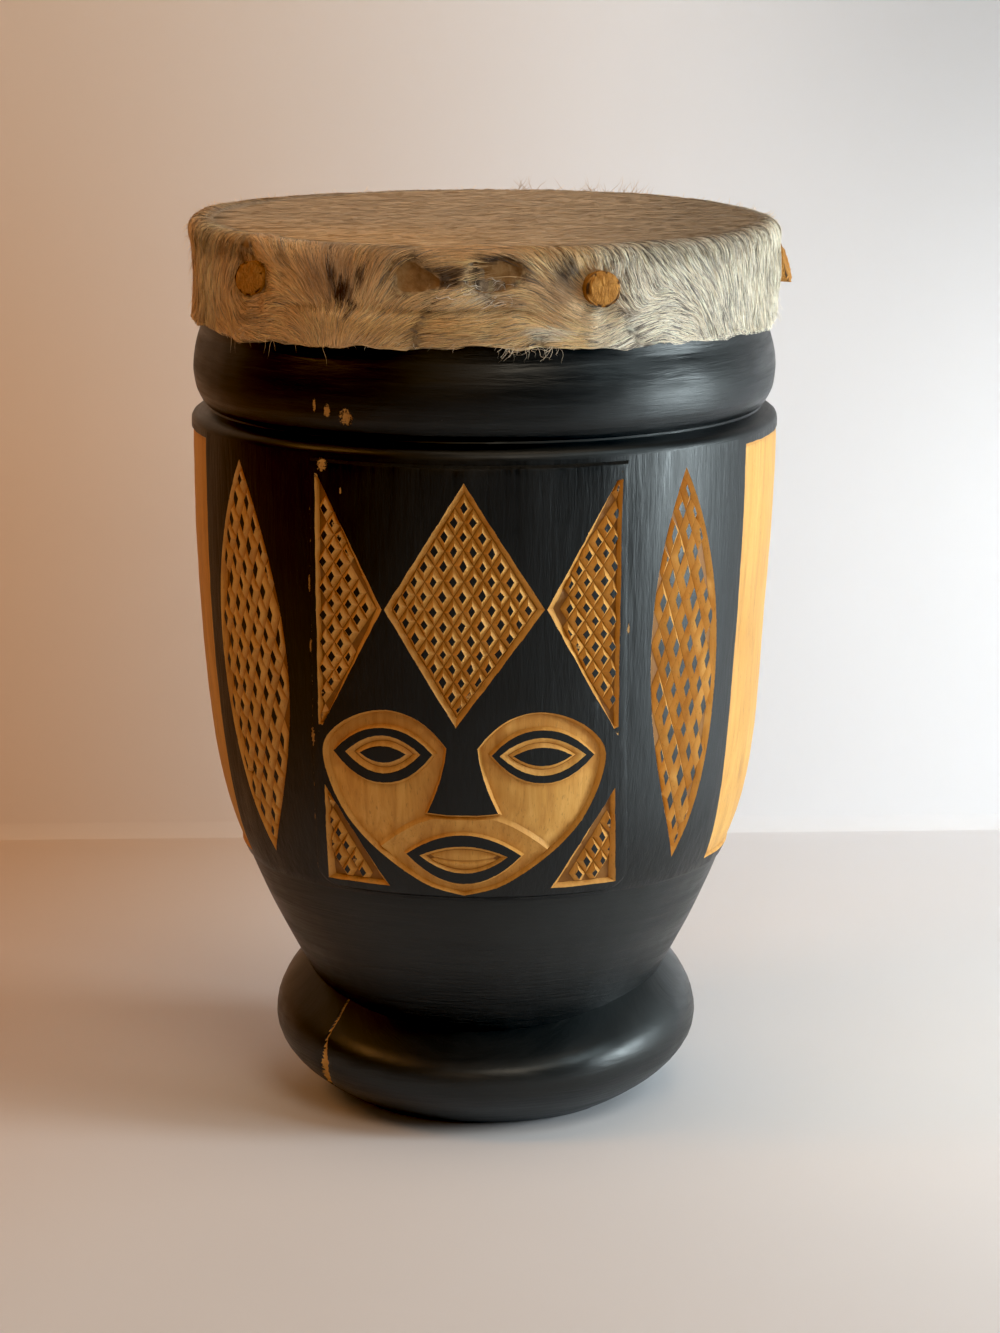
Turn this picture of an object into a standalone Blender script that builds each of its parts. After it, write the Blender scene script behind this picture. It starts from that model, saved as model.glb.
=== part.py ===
import math
import bpy
import bmesh
from mathutils import Vector, Matrix
from mathutils.geometry import delaunay_2d_cdt

MM = 0.001

# Overall heights and radii, millimetres and degrees
BARREL_BOTTOM_Z = 104.5
BARREL_H = 176.5
HEAD_H = 81.0
BARREL_TOP_R = 118.0
BARREL_LOW_R = 97.9
RIM_IN = 3.8
RIM_WALL = 13.2
HIDE_SKIN = 3.0
HIDE_EDGE = 8.0
HEM_DROP = 38.5
HEM_WAVE = 2.0
FIT_GAP = 0.3
RIM_EASE = 0.5
COLUMNS = 48
SEAM_DEG = 118.5

# Foot and cup
BASE_R = 55.0
FOOT_R = 86.5
FOOT_WIDEST = 33.0
CREASE_SIDE_Z = 57.0
CREASE_FRONT_Z = 42.0
CREASE_R = 74.2
CUP_TOP_R = 96.6
LEDGE = 1.5
FOOT_LOW_CURVE = 1.85
FOOT_HIGH_CURVE = 2.15

# Hollow
THROAT_R = 40.0
THROAT_Z = 60.0
WALL = 17.0

# Ring under the hide
LIP_H = 3.0
GROOVE_IN = 6.4
GROOVE_H = 6.2
BULGE_H = 21.5
BULGE_IN = 0.9
BULGE_TOP_H = 37.0

# Raised panels
PANEL_HALF = 61.0
PANEL_RAISE = 2.0
PANEL_WALL = 1.1
PANEL_TOP_GAP = 2.8
PANEL_LOW_GAP = 1.7
PANEL_CORNER = 9.0

# Carving in the panels and between them
DIAMOND_CELLS = 8.3
TIP_GAP = 0.9
DIAMOND_LEAN = 3.8
FACE_LEFT = 1.6
SIDE_GAP = 2.8
CORNER_GAP = 4.5
LENS_DEG = 49.0
LENS_HALF = 20.2
LENS_PITCH = 8.8
LEAF_DEPTH = 1.8
STRIP_DEG = 90.0
STRIP_HALF = 26.5
STRIP_DEPTH = 1.6
STRIP_RIDGE = 26.0

GROOVE_DEPTH = 2.2
GROOVE_EDGE = 1.7
ISLAND_FILL = 0.40
FACE_DEPTH = 2.2
FACE_WALL = 1.1

# Pegs
PEG_COUNT = 5
PEG_FIRST_DEG = 25.3
PEG_DROP = 16.5
PEG_R = 6.8
PEG_TAPER = 0.4
PEG_PROUD = 4.5
PEG_SIDES = 14

BARREL_TOP_Z = BARREL_BOTTOM_Z + BARREL_H
HIDE_TOP_Z = BARREL_TOP_Z + HEAD_H
RIM_TOP_Z = HIDE_TOP_Z - HIDE_SKIN - FIT_GAP
RIM_R = BARREL_TOP_R - RIM_IN
RIM_INNER_R = RIM_R - RIM_WALL
HIDE_INNER_R = RIM_R + FIT_GAP
HIDE_R = HIDE_INNER_R + RIM_EASE + HIDE_SKIN
HEM_Z = HIDE_TOP_Z - HEM_DROP
PEG_Z = HIDE_TOP_Z - PEG_DROP
PEG_IN_R = RIM_INNER_R + 1.0
PEG_OUT_R = HIDE_R + PEG_PROUD


# The carving keeps its proportions: heights are shares of the barrel's, widths of the panel's
def up_barrel(share):
    return BARREL_BOTTOM_Z + share * BARREL_H


DIAMOND_HALF = 0.508 * PANEL_HALF
DIAMOND_TOP_Z = up_barrel(0.952)
DIAMOND_MID_Z = up_barrel(0.671)
DIAMOND_LOW_Z = up_barrel(0.408)
SIDE_TRI_X = PANEL_HALF - SIDE_GAP
SIDE_TRI_TOP_Z = up_barrel(0.966)
SIDE_TRI_LOW_Z = up_barrel(0.377)
CORNER_X = PANEL_HALF - CORNER_GAP
CORNER_TIP_X = 0.516 * PANEL_HALF
CORNER_TOP_Z = up_barrel(0.258)
CORNER_LOW_Z = up_barrel(0.029)
FACE_HALF = 0.9 * PANEL_HALF
FACE_TOP_Z = up_barrel(0.443)
FACE_LOW_Z = up_barrel(0.0135)
LENS_TOP_Z = up_barrel(0.96)
LENS_LOW_Z = up_barrel(0.06)
STRIP_TOP_Z = up_barrel(0.985)
STRIP_TAPER_Z = up_barrel(0.235)
STRIP_LOW_Z = up_barrel(0.0255)


def clear_scene():
    for ob in list(bpy.data.objects):
        bpy.data.objects.remove(ob, do_unlink=True)


# Barrel wall: quick swell above the ledge, then a long gentle one
def barrel_r(z):
    t = min(1.0, max(0.0, (z - BARREL_BOTTOM_Z) / BARREL_H))
    return BARREL_TOP_R - (BARREL_TOP_R - BARREL_LOW_R) * (0.6 * (1 - t) ** 1.8 + 0.4 * (1 - t) ** 9)


def cup_r(z):
    top = BARREL_BOTTOM_Z - LEDGE
    t = (z - CREASE_SIDE_Z) / (top - CREASE_SIDE_Z)
    return CREASE_R + (CUP_TOP_R - CREASE_R) * (t + 0.2 * max(0.0, t) * (1 - t))


def foot_r(z):
    if z < FOOT_WIDEST:
        return FOOT_R - (FOOT_R - BASE_R) * ((FOOT_WIDEST - z) / FOOT_WIDEST) ** FOOT_LOW_CURVE
    t = (z - FOOT_WIDEST) / (CREASE_SIDE_Z - FOOT_WIDEST)
    return FOOT_R - (FOOT_R - CREASE_R) * t ** FOOT_HIGH_CURVE


# The crease above the foot dips at the front, as it was cut by eye
def crease_z(deg):
    a = math.radians(deg)
    mean = 0.75 * CREASE_SIDE_Z + 0.25 * CREASE_FRONT_Z
    first = 0.5 * (CREASE_SIDE_Z - CREASE_FRONT_Z)
    second = CREASE_SIDE_Z - mean
    return mean - first * math.cos(a) - second * math.cos(2 * a)


# Flat pattern helpers: polygons are lists of (u, z)
def area(poly):
    return 0.5 * sum(a[0] * b[1] - b[0] * a[1] for a, b in zip(poly, poly[1:] + poly[:1]))


def counter(poly):
    return poly if area(poly) > 0 else poly[::-1]


def inset(poly, d):
    poly = counter(poly)
    n = len(poly)
    out = []
    for i in range(n):
        p0, p1, p2 = poly[i - 1], poly[i], poly[(i + 1) % n]
        a = Vector((p1[0] - p0[0], p1[1] - p0[1])).normalized()
        b = Vector((p2[0] - p1[0], p2[1] - p1[1])).normalized()
        na, nb = Vector((-a.y, a.x)), Vector((-b.y, b.x))
        m = na + nb
        k = d / max(0.22, m.dot(na))
        out.append((p1[0] + m.x * k, p1[1] + m.y * k))
    return out


def clip_half(poly, n, c):
    out = []
    for a, b in zip(poly, poly[1:] + poly[:1]):
        da = n[0] * a[0] + n[1] * a[1] - c
        db = n[0] * b[0] + n[1] * b[1] - c
        if da >= 0:
            out.append(a)
        if (da > 0 > db) or (da < 0 < db):
            t = da / (da - db)
            out.append((a[0] + t * (b[0] - a[0]), a[1] + t * (b[1] - a[1])))
    return out


def clip_convex(poly, hull):
    for a, b in zip(hull, hull[1:] + hull[:1]):
        n = (-(b[1] - a[1]), b[0] - a[0])
        c = n[0] * a[0] + n[1] * a[1]
        poly = clip_half(poly, n, c)
        if len(poly) < 3:
            return []
    return poly


def tidy(poly, tol=0.25):
    out = []
    for p in poly:
        if not out or math.hypot(p[0] - out[-1][0], p[1] - out[-1][1]) > tol:
            out.append(p)
    if len(out) > 2 and math.hypot(out[0][0] - out[-1][0], out[0][1] - out[-1][1]) <= tol:
        out.pop()
    return out


def inside(poly, p):
    hit = False
    for a, b in zip(poly, poly[1:] + poly[:1]):
        if (a[1] > p[1]) != (b[1] > p[1]):
            if p[0] < a[0] + (p[1] - a[1]) * (b[0] - a[0]) / (b[1] - a[1]):
                hit = not hit
    return hit


def near(poly, p, d):
    for a, b in zip(poly, poly[1:] + poly[:1]):
        ab = (b[0] - a[0], b[1] - a[1])
        t = ((p[0] - a[0]) * ab[0] + (p[1] - a[1]) * ab[1]) / max(1e-9, ab[0] ** 2 + ab[1] ** 2)
        t = min(1.0, max(0.0, t))
        if math.hypot(p[0] - a[0] - t * ab[0], p[1] - a[1] - t * ab[1]) < d:
            return True
    return False


def almond(cx, cz, half, up, down, n=6, skew=0.0):
    pts = []
    for i in range(n):
        t = -1 + 2 * i / n
        pts.append((cx + half * t, cz + skew * t - down * (1 - abs(t) ** 2.0)))
    for i in range(n):
        t = 1 - 2 * i / n
        pts.append((cx + half * t, cz + skew * t + up * (1 - abs(t) ** 2.0)))
    return pts


def arc(cx, cz, rx, rz, a0, a1, n):
    return [(cx + rx * math.cos(math.radians(a0 + (a1 - a0) * i / n)),
             cz + rz * math.sin(math.radians(a0 + (a1 - a0) * i / n))) for i in range(n + 1)]


class Sheet:
    # Unrolled barrel surface with tagged depths, joined into one triangulation
    def __init__(self):
        self.pts, self.depth, self.edges, self.keep_out = [], [], [], []

    def point(self, flat, depth, place):
        deg, z = place(flat)
        self.pts.append(((deg - (SEAM_DEG - 360.0)) * 2.0, z))
        self.depth.append(depth)
        return len(self.pts) - 1

    def loop(self, poly, depth, place, closed=True):
        ids = [self.point(p, depth, place) for p in poly]
        for a, b in zip(ids, ids[1:]):
            self.edges.append((a, b))
        if closed:
            self.edges.append((ids[-1], ids[0]))
        return ids

    def guard(self, poly, place):
        self.keep_out.append([((place(p)[0] - (SEAM_DEG - 360.0)) * 2.0, place(p)[1]) for p in poly])

    def lattice(self, poly, place, base, origin, da, db, pitch_a, pitch_b, fill=ISLAND_FILL):
        poly = counter(poly)
        valley = inset(poly, GROOVE_EDGE)
        core = inset(poly, GROOVE_EDGE + 1.1)
        self.guard(poly, place)
        self.loop(poly, base, place)
        self.loop(valley, base - GROOVE_DEPTH, place)
        na, nb = (-da[1], da[0]), (-db[1], db[0])

        def crossing(i, j):
            ca = origin[0] * na[0] + origin[1] * na[1] + i * pitch_a
            cb = origin[0] * nb[0] + origin[1] * nb[1] + j * pitch_b
            det = na[0] * nb[1] - na[1] * nb[0]
            return ((ca * nb[1] - cb * na[1]) / det, (na[0] * cb - nb[0] * ca) / det)

        wide = max(max(p[k] for p in poly) - min(p[k] for p in poly) for k in (0, 1))
        span = 4 + int(wide / min(pitch_a, pitch_b))
        for fam in (0, 1):
            for i in range(-span, span + 1):
                ends = [crossing(i, -2 * span), crossing(i, 2 * span)] if fam == 0 else [crossing(-2 * span, i), crossing(2 * span, i)]
                n = na if fam == 0 else nb
                cut = []
                c = n[0] * ends[0][0] + n[1] * ends[0][1]
                for a, b in zip(valley, valley[1:] + valley[:1]):
                    sa, sb = n[0] * a[0] + n[1] * a[1] - c, n[0] * b[0] + n[1] * b[1] - c
                    if sa * sb < 0:
                        t = sa / (sa - sb)
                        cut.append((a[0] + t * (b[0] - a[0]), a[1] + t * (b[1] - a[1])))
                if len(cut) != 2 or math.hypot(cut[0][0] - cut[1][0], cut[0][1] - cut[1][1]) < 2.0:
                    continue
                d = (cut[1][0] - cut[0][0], cut[1][1] - cut[0][1])
                run = [cut[0]]
                mids = []
                for j in range(-span, span + 1):
                    q = crossing(i, j) if fam == 0 else crossing(j, i)
                    t = ((q[0] - cut[0][0]) * d[0] + (q[1] - cut[0][1]) * d[1]) / (d[0] ** 2 + d[1] ** 2)
                    L = math.hypot(*d)
                    if 0.6 / L < t < 1 - 0.6 / L:
                        mids.append((t, q))
                run += [q for _, q in sorted(mids)] + [cut[1]]
                self.loop(run, base - GROOVE_DEPTH, place, closed=False)
        m = 0.5 * (1 - fill)
        full = None
        for i in range(-span, span):
            for j in range(-span, span):
                cell = [crossing(i + m, j + m), crossing(i + 1 - m, j + m),
                        crossing(i + 1 - m, j + 1 - m), crossing(i + m, j + 1 - m)]
                if full is None:
                    full = abs(area(cell))
                cut = tidy(clip_convex(counter(cell), core))
                if len(cut) >= 3 and abs(area(cut)) > 0.3 * full:
                    self.loop(cut, base, place)


def panel_place(centre_deg):
    def place(p):
        r = barrel_r(p[1]) + PANEL_RAISE
        return centre_deg + math.degrees(math.asin(max(-0.95, min(0.95, p[0] / r)))), p[1]
    return place


def band_place(centre_deg):
    def place(p):
        return centre_deg + math.degrees(p[0] / MIDDLE_R), p[1]
    return place


MIDDLE_R = barrel_r(BARREL_BOTTOM_Z + 0.6 * BARREL_H)


def unit(x, z):
    k = math.hypot(x, z)
    return (x / k, z / k)


def panel_outline(grow):
    h, c = PANEL_HALF + grow, PANEL_CORNER + grow
    low, top = BARREL_BOTTOM_Z + PANEL_LOW_GAP - grow, BARREL_TOP_Z - PANEL_TOP_GAP + grow
    pts = [(-h, up_barrel(k)) for k in (0.82, 0.65, 0.48, 0.31, 0.17)]
    pts += arc(-h + c, low + c, c, c, 180, 270, 4)
    pts += [(h * k, low) for k in (-0.6, -0.3, 0.0, 0.3, 0.6)]
    pts += arc(h - c, low + c, c, c, 270, 360, 4)
    pts += [(h, up_barrel(k)) for k in (0.17, 0.31, 0.48, 0.65, 0.82)]
    pts += [(h, top)] + [(h * k, top) for k in (0.66, 0.33, 0.0, -0.33, -0.66)] + [(-h, top)]
    return pts


def add_panel(sheet, deg, face):
    place = panel_place(deg)
    up = PANEL_RAISE
    outer, inner = panel_outline(PANEL_WALL), panel_outline(0.0)
    sheet.loop(outer, 0.0, place)
    sheet.loop(inner, up, place)
    slope = unit(DIAMOND_HALF, DIAMOND_TOP_Z - DIAMOND_MID_Z)
    back = unit(DIAMOND_HALF, -(DIAMOND_MID_Z - DIAMOND_LOW_Z))
    diamond = [(0, DIAMOND_TOP_Z), (-DIAMOND_HALF, DIAMOND_MID_Z), (-DIAMOND_LEAN if face else 0.0, DIAMOND_LOW_Z), (DIAMOND_HALF, DIAMOND_MID_Z)]
    if not face:
        diamond = counter(diamond)
        sheet.guard(diamond, place)
        sheet.loop(diamond, up, place)
        sheet.loop(inset(diamond, GROOVE_EDGE), up - GROOVE_DEPTH, place)
        sheet.loop([(0.0, DIAMOND_TOP_Z - 14.0), (0.0, DIAMOND_MID_Z), (0.0, DIAMOND_LOW_Z + 14.0)], up - 0.4, place, closed=False)
        return
    side = math.hypot(DIAMOND_HALF, DIAMOND_TOP_Z - DIAMOND_MID_Z)
    pitch = 2 * DIAMOND_HALF * (DIAMOND_TOP_Z - DIAMOND_MID_Z) / side / DIAMOND_CELLS
    tri_pitch = pitch * 0.92
    sheet.lattice(diamond, place, up, (0, DIAMOND_TOP_Z - 4.0), slope, back, pitch, pitch)
    for s in (-1, 1):
        tri = [(s * SIDE_TRI_X, SIDE_TRI_TOP_Z), (s * (DIAMOND_HALF + TIP_GAP), DIAMOND_MID_Z), (s * SIDE_TRI_X, SIDE_TRI_LOW_Z)]
        sheet.lattice(tri, place, up, (s * (DIAMOND_HALF + 5.0), DIAMOND_MID_Z), slope, back, tri_pitch, tri_pitch)
        tri = [(s * CORNER_X, CORNER_TOP_Z), (s * CORNER_X, CORNER_LOW_Z), (s * CORNER_TIP_X, CORNER_LOW_Z)]
        sheet.lattice(tri, place, up, (s * (CORNER_X - 5), CORNER_LOW_Z + 5), unit(1, 1.7), unit(1, -1.7), tri_pitch, tri_pitch)
    add_face(sheet, place, up)


# Face lines are drawn in units of their own and fitted to the face's half width and height
FACE_LINE = [(6.0, 168.0), (10.5, 174.0), (17.0, 179.2), (24.5, 182.2), (32.0, 182.7), (40.0, 180.8),
             (47.5, 176.4), (53.0, 170.4), (55.0, 164.6), (54.0, 157.0), (50.6, 147.4), (45.6, 138.0), (38.8, 130.0),
             (31.4, 123.2), (22.0, 116.4), (12.0, 110.2), (0.0, 107.0)]


def on_face(points):
    half = max(x for x, z in FACE_LINE)
    low, high = min(z for x, z in FACE_LINE), max(z for x, z in FACE_LINE)
    return [(x * FACE_HALF / half - FACE_LEFT, FACE_LOW_Z + (z - low) * (FACE_TOP_Z - FACE_LOW_Z) / (high - low)) for x, z in points]


def add_face(sheet, place, up):
    floor = up - FACE_DEPTH
    nose = [(13.7, 142.0), (8.6, 155.0)]
    outline = FACE_LINE + [(-x, z) for x, z in FACE_LINE[-2::-1]] + [(-x, z) for x, z in nose[::-1]] + nose
    outline = counter(on_face(outline))
    sheet.guard(outline, place)
    sheet.loop(outline, up, place)
    sheet.loop(inset(outline, FACE_WALL), floor, place)
    for s in (-1, 1):
        eye = on_face(almond(s * 31.0, 165.2, 18.8, 10.4, 11.8, 8, -s * 0.6))
        sheet.loop(inset(eye, -FACE_WALL), floor, place)
        sheet.loop(eye, up, place)
        sheet.loop(on_face(almond(s * 31.0, 165.2, 15.0, 7.3, 8.1, 6, -s * 0.5)), up, place)
        sheet.loop(on_face(almond(s * 31.0, 165.2, 12.3, 5.0, 5.6, 5, -s * 0.4)), up - 1.4, place)
        sheet.loop(on_face(almond(s * 31.0, 165.2, 9.8, 3.1, 3.7, 4, -s * 0.3)), up, place)
        ridge = [(s * 13.4, 138.6), (s * 22.0, 134.8), (s * 30.0, 129.4), (s * 33.0, 126.8)]
        sheet.loop(on_face(ridge), up - 0.7, place, closed=False)
        cheek = [(s * 22.0, 146.4), (s * 34.0, 143.6), (s * 43.0, 150.2)]
        sheet.loop(on_face(cheek), up - 1.1, place, closed=False)
    sheet.loop(on_face([(-9.0, 139.2), (0.0, 138.8), (9.0, 139.2)]), up - 0.9, place, closed=False)
    mouth = on_face(almond(0.0, 124.4, 22.2, 8.7, 12.2, 8))
    lips = on_face(almond(0.0, 124.0, 17.0, 4.4, 7.2, 6))
    sheet.loop(inset(mouth, -FACE_WALL), floor, place)
    sheet.loop(mouth, up, place)
    sheet.loop(lips, up, place)
    sheet.loop(inset(lips, 1.2), up - 1.3, place)
    sheet.loop(on_face([(-9.5, 123.2), (0.0, 122.2), (9.5, 123.2)]), up - 0.5, place, closed=False)


def lens_outline(n=12):
    mid, half = 0.5 * (LENS_TOP_Z + LENS_LOW_Z), 0.5 * (LENS_TOP_Z - LENS_LOW_Z)
    right = [(LENS_HALF * (1 - abs(-1 + 2 * i / n) ** 2.1), mid + half * (-1 + 2 * i / n)) for i in range(n)]
    left = [(-LENS_HALF * (1 - abs(1 - 2 * i / n) ** 2.1), mid + half * (1 - 2 * i / n)) for i in range(n)]
    return right + left


def strip_outline():
    h = STRIP_HALF
    top = STRIP_TOP_Z
    k = MIDDLE_R * math.pi / 180.0
    rise = STRIP_TAPER_Z - STRIP_LOW_Z
    right = [(h * k, top + (STRIP_TAPER_Z - top) * t) for t in (0.29, 0.55, 0.8, 1.0)]
    side = [(h * k * c, STRIP_LOW_Z + rise * t) for c, t in ((0.95, 0.65), (0.84, 0.32), (0.62, 0.09), (0.30, 0.016))]
    lower = [(0.0, STRIP_LOW_Z)]
    pts = [(h * k, top)] + right + side + lower
    pts += [(-x, z) for x, z in side[::-1]] + [(-x, z) for x, z in right[::-1]] + [(-h * k, top)]
    pts += [(x, top) for x in (-0.5 * h * k, 0.0, 0.5 * h * k)]
    return pts


def build_sheet():
    sheet = Sheet()
    add_panel(sheet, 0.0, True)
    add_panel(sheet, -180.0, False)
    for deg in (-LENS_DEG, LENS_DEG):
        sheet.lattice(lens_outline(), band_place(deg), 0.0, (0.0, LENS_TOP_Z - 12.0), unit(1.0, 1.28), unit(1.0, -1.28), LENS_PITCH, LENS_PITCH)
    for deg in (LENS_DEG - 180.0, -LENS_DEG - 180.0):
        place = band_place(deg)
        leaf = counter(lens_outline(10))
        sheet.guard(leaf, place)
        sheet.loop(leaf, 0.0, place)
        sheet.loop(inset(leaf, 1.6), -LEAF_DEPTH, place)
        sheet.loop([(0.0, LENS_LOW_Z + (LENS_TOP_Z - LENS_LOW_Z) * t) for t in (0.9, 0.78, 0.66, 0.53, 0.41, 0.28, 0.16, 0.08)], -0.5, place, closed=False)
    for deg in (-STRIP_DEG, STRIP_DEG):
        place = band_place(deg)
        outline = counter(strip_outline())
        sheet.guard(outline, place)
        sheet.loop(outline, 0.0, place)
        sheet.loop(inset(outline, 1.4), -STRIP_DEPTH, place)
        sheet.loop([(0.0, up_barrel(t)) for t in (0.95, 0.8, 0.57, 0.38, 0.235, 0.11)], -STRIP_DEPTH + 1.1, place, closed=False)
        for s in (-1, 1):
            sheet.loop([(s * STRIP_RIDGE, up_barrel(t)) for t in (0.94, 0.8, 0.57, 0.38, 0.26)], -STRIP_DEPTH + 0.35, place, closed=False)
    step = 360.0 / COLUMNS
    flat = lambda p: p
    panels = []
    for deg in (0.0, -180.0):
        place = panel_place(deg)
        panels.append(([((place(p)[0] - (SEAM_DEG - 360.0)) * 2.0, place(p)[1]) for p in panel_outline(PANEL_WALL * 0.5)]))
    rows = [BARREL_BOTTOM_Z] + [up_barrel(t) for t in (0.05, 0.105, 0.175, 0.26, 0.345, 0.43, 0.515, 0.61, 0.71, 0.81, 0.91)] + [BARREL_TOP_Z]
    previous = None
    for j, z in enumerate(rows):
        row = []
        rim = j in (0, len(rows) - 1)
        for k in range(COLUMNS + 1):
            deg = SEAM_DEG - 360.0 + step * k
            u = (deg - (SEAM_DEG - 360.0)) * 2.0
            edge = k in (0, COLUMNS)
            if not rim and not edge:
                if any(inside(g, (u, z)) or near(g, (u, z), 2.2) for g in sheet.keep_out):
                    continue
                if any(near(g, (u, z), 3.0) for g in panels):
                    continue
            raised = PANEL_RAISE if (not rim and any(inside(g, (u, z)) for g in panels)) else 0.0
            sheet.pts.append((u, z))
            sheet.depth.append(raised)
            row.append(len(sheet.pts) - 1)
        if rim:
            sheet.edges += list(zip(row, row[1:]))
        if previous:
            sheet.edges += [(previous[0], row[0]), (previous[-1], row[-1])]
        previous = row
    return sheet


def triangulate(sheet):
    verts, edges, faces, ov, oe, of_ = delaunay_2d_cdt([Vector(p) for p in sheet.pts], sheet.edges, [], 0, 0.02, True)
    depth = []
    touch = {}
    for i, e in enumerate(edges):
        for v in e:
            touch.setdefault(v, set()).update(oe[i])
    for i, src in enumerate(ov):
        if src:
            depth.append(min(sheet.depth[s] for s in src))
        else:
            lines = touch.get(i, set())
            vals = [0.5 * (sheet.depth[sheet.edges[k][0]] + sheet.depth[sheet.edges[k][1]]) for k in lines if k < len(sheet.edges)]
            depth.append(min(vals) if vals else 0.0)
    return verts, faces, depth


def shell_mesh():
    bm = bmesh.new()
    step = 360.0 / COLUMNS
    degs = [SEAM_DEG - 360.0 + step * k for k in range(COLUMNS)]
    lookup = {}

    def vert(deg, r, z):
        a = math.radians(deg)
        return bm.verts.new((r * math.sin(a) * MM, -r * math.cos(a) * MM, z * MM))

    def ring(fn):
        return [vert(d, *fn(d)) for d in degs]

    def stitch(low, high):
        n = len(low)
        for k in range(n):
            m = (k + 1) % n
            bm.faces.new((low[k], low[m], high[m], high[k]))

    verts, faces, depth = triangulate(build_sheet())
    width = 720.0
    ids = []
    for p, d in zip(verts, depth):
        u = p.x if p.x < width - 0.01 else 0.0
        key = (round(u, 2), round(p.y, 2))
        if key not in lookup:
            deg = u / 2.0 + SEAM_DEG - 360.0
            lookup[key] = vert(deg, barrel_r(p.y) + d, p.y)
        ids.append(lookup[key])
    for f in faces:
        tri = [ids[i] for i in f]
        if len(set(tri)) == 3:
            bm.faces.new(tri)
    low, high = [[lookup[key] for key in sorted(k for k in lookup if abs(k[1] - z) < 0.02)] for z in (BARREL_BOTTOM_Z, BARREL_TOP_Z)]

    # Cup down to the crease, then the foot down to the underside and up through the throat
    chain = [low]
    top = BARREL_BOTTOM_Z - LEDGE
    for t in (1.0, 0.83, 0.58, 0.33):
        z = CREASE_SIDE_Z + t * (top - CREASE_SIDE_Z)
        chain.append(ring(lambda d, z=z: (cup_r(z), z)))
    mid = CREASE_SIDE_Z + 0.33 * (top - CREASE_SIDE_Z)
    chain.append(ring(lambda d: (cup_r(0.45 * mid + 0.55 * crease_z(d)), 0.45 * mid + 0.55 * crease_z(d))))
    chain.append(ring(lambda d: (cup_r(crease_z(d)), crease_z(d))))
    for t in (0.94, 0.86, 0.72, 0.57, 0.42, 0.29, 0.17, 0.07, 0.0):
        z = t * CREASE_SIDE_Z
        pull = max(0.0, (t - 0.75) / 0.25)
        chain.append(ring(lambda d, t=t, z=z, pull=pull: (foot_r(z) - pull * (CREASE_R - cup_r(crease_z(d))), t * crease_z(d))))
    hollow = [(THROAT_R + 1.5, 0.0), (THROAT_R, 1.5), (THROAT_R + 2.0, THROAT_Z)]
    for t in (0.08, 0.28, 0.66):
        z = up_barrel(t)
        hollow.append((barrel_r(z) - WALL - 6.0 * (1.0 - 1.5 * t), z))
    hollow += [(RIM_INNER_R, BARREL_TOP_Z + 0.5 * BULGE_H), (RIM_INNER_R, RIM_TOP_Z - 2.0), (RIM_INNER_R + 2.0, RIM_TOP_Z)]
    for r, z in hollow:
        chain.append(ring(lambda d, r=r, z=z: (r, z)))
    bulge_r = BARREL_TOP_R - BULGE_IN
    groove_r = BARREL_TOP_R - GROOVE_IN
    for r, z in ((RIM_R - 4.0, RIM_TOP_Z), (RIM_R - 0.9, RIM_TOP_Z - 1.2), (RIM_R, RIM_TOP_Z - 4.0),
                 (RIM_R, BARREL_TOP_Z + BULGE_TOP_H), (bulge_r - 0.7, BARREL_TOP_Z + BULGE_H + 8.0), (bulge_r, BARREL_TOP_Z + BULGE_H),
                 (bulge_r - 0.9, BARREL_TOP_Z + BULGE_H - 8.0), (groove_r + 2.0, BARREL_TOP_Z + GROOVE_H + 2.0),
                 (groove_r, BARREL_TOP_Z + GROOVE_H), (groove_r + 1.4, BARREL_TOP_Z + LIP_H + 1.4), (BARREL_TOP_R - 0.8, BARREL_TOP_Z + LIP_H)):
        chain.append(ring(lambda d, r=r, z=z: (r, z)))
    chain.append(high)
    for a, b in zip(chain, chain[1:]):
        stitch(b, a)
    bmesh.ops.recalc_face_normals(bm, faces=bm.faces)
    bmesh.ops.triangulate(bm, faces=bm.faces)
    return bm


def hem_z(deg):
    a = math.radians(deg)
    return HEM_Z + HEM_WAVE * (0.55 * math.sin(2 * a + 0.9) + 0.35 * math.sin(5 * a + 2.2) + 0.25 * math.sin(9 * a))


def hide_mesh():
    bm = bmesh.new()
    inner_r = HIDE_INNER_R
    top, under = HIDE_TOP_Z, HIDE_TOP_Z - HIDE_SKIN
    degs = [SEAM_DEG + 360.0 * k / COLUMNS for k in range(COLUMNS)]

    def ring(fn):
        out = []
        for d in degs:
            r, z = fn(d)
            a = math.radians(d)
            out.append(bm.verts.new((r * math.sin(a) * MM, -r * math.cos(a) * MM, z * MM)))
        return out

    rows = [ring(lambda d, r=r, z=z: (r, z)) for r, z in
            ((0.5 * HIDE_R, top), (HIDE_R - HIDE_EDGE - 2.0, top), (HIDE_R - 0.4 * HIDE_EDGE, top - 1.4),
             (HIDE_R, top - 6.0))]
    rows.append(ring(lambda d: (HIDE_R + 0.4, hem_z(d) + 8.0)))
    rows.append(ring(lambda d: (HIDE_R + 0.2, hem_z(d) + 1.2)))
    rows.append(ring(lambda d: (HIDE_R - 1.2, hem_z(d))))
    rows.append(ring(lambda d: (inner_r, hem_z(d) + 0.6)))
    rows += [ring(lambda d, r=r, z=z: (r, z)) for r, z in
             ((inner_r, under - 4.0), (inner_r - 0.9, under - 1.2), (inner_r - 4.0, under), (0.5 * HIDE_R, under))]
    for a, b in zip(rows, rows[1:]):
        for k in range(COLUMNS):
            m = (k + 1) % COLUMNS
            bm.faces.new((a[k], a[m], b[m], b[k]))
    bm.faces.new(rows[0])
    bm.faces.new(rows[-1])
    bmesh.ops.recalc_face_normals(bm, faces=bm.faces)
    bmesh.ops.triangulate(bm, faces=bm.faces)
    return bm


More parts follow.
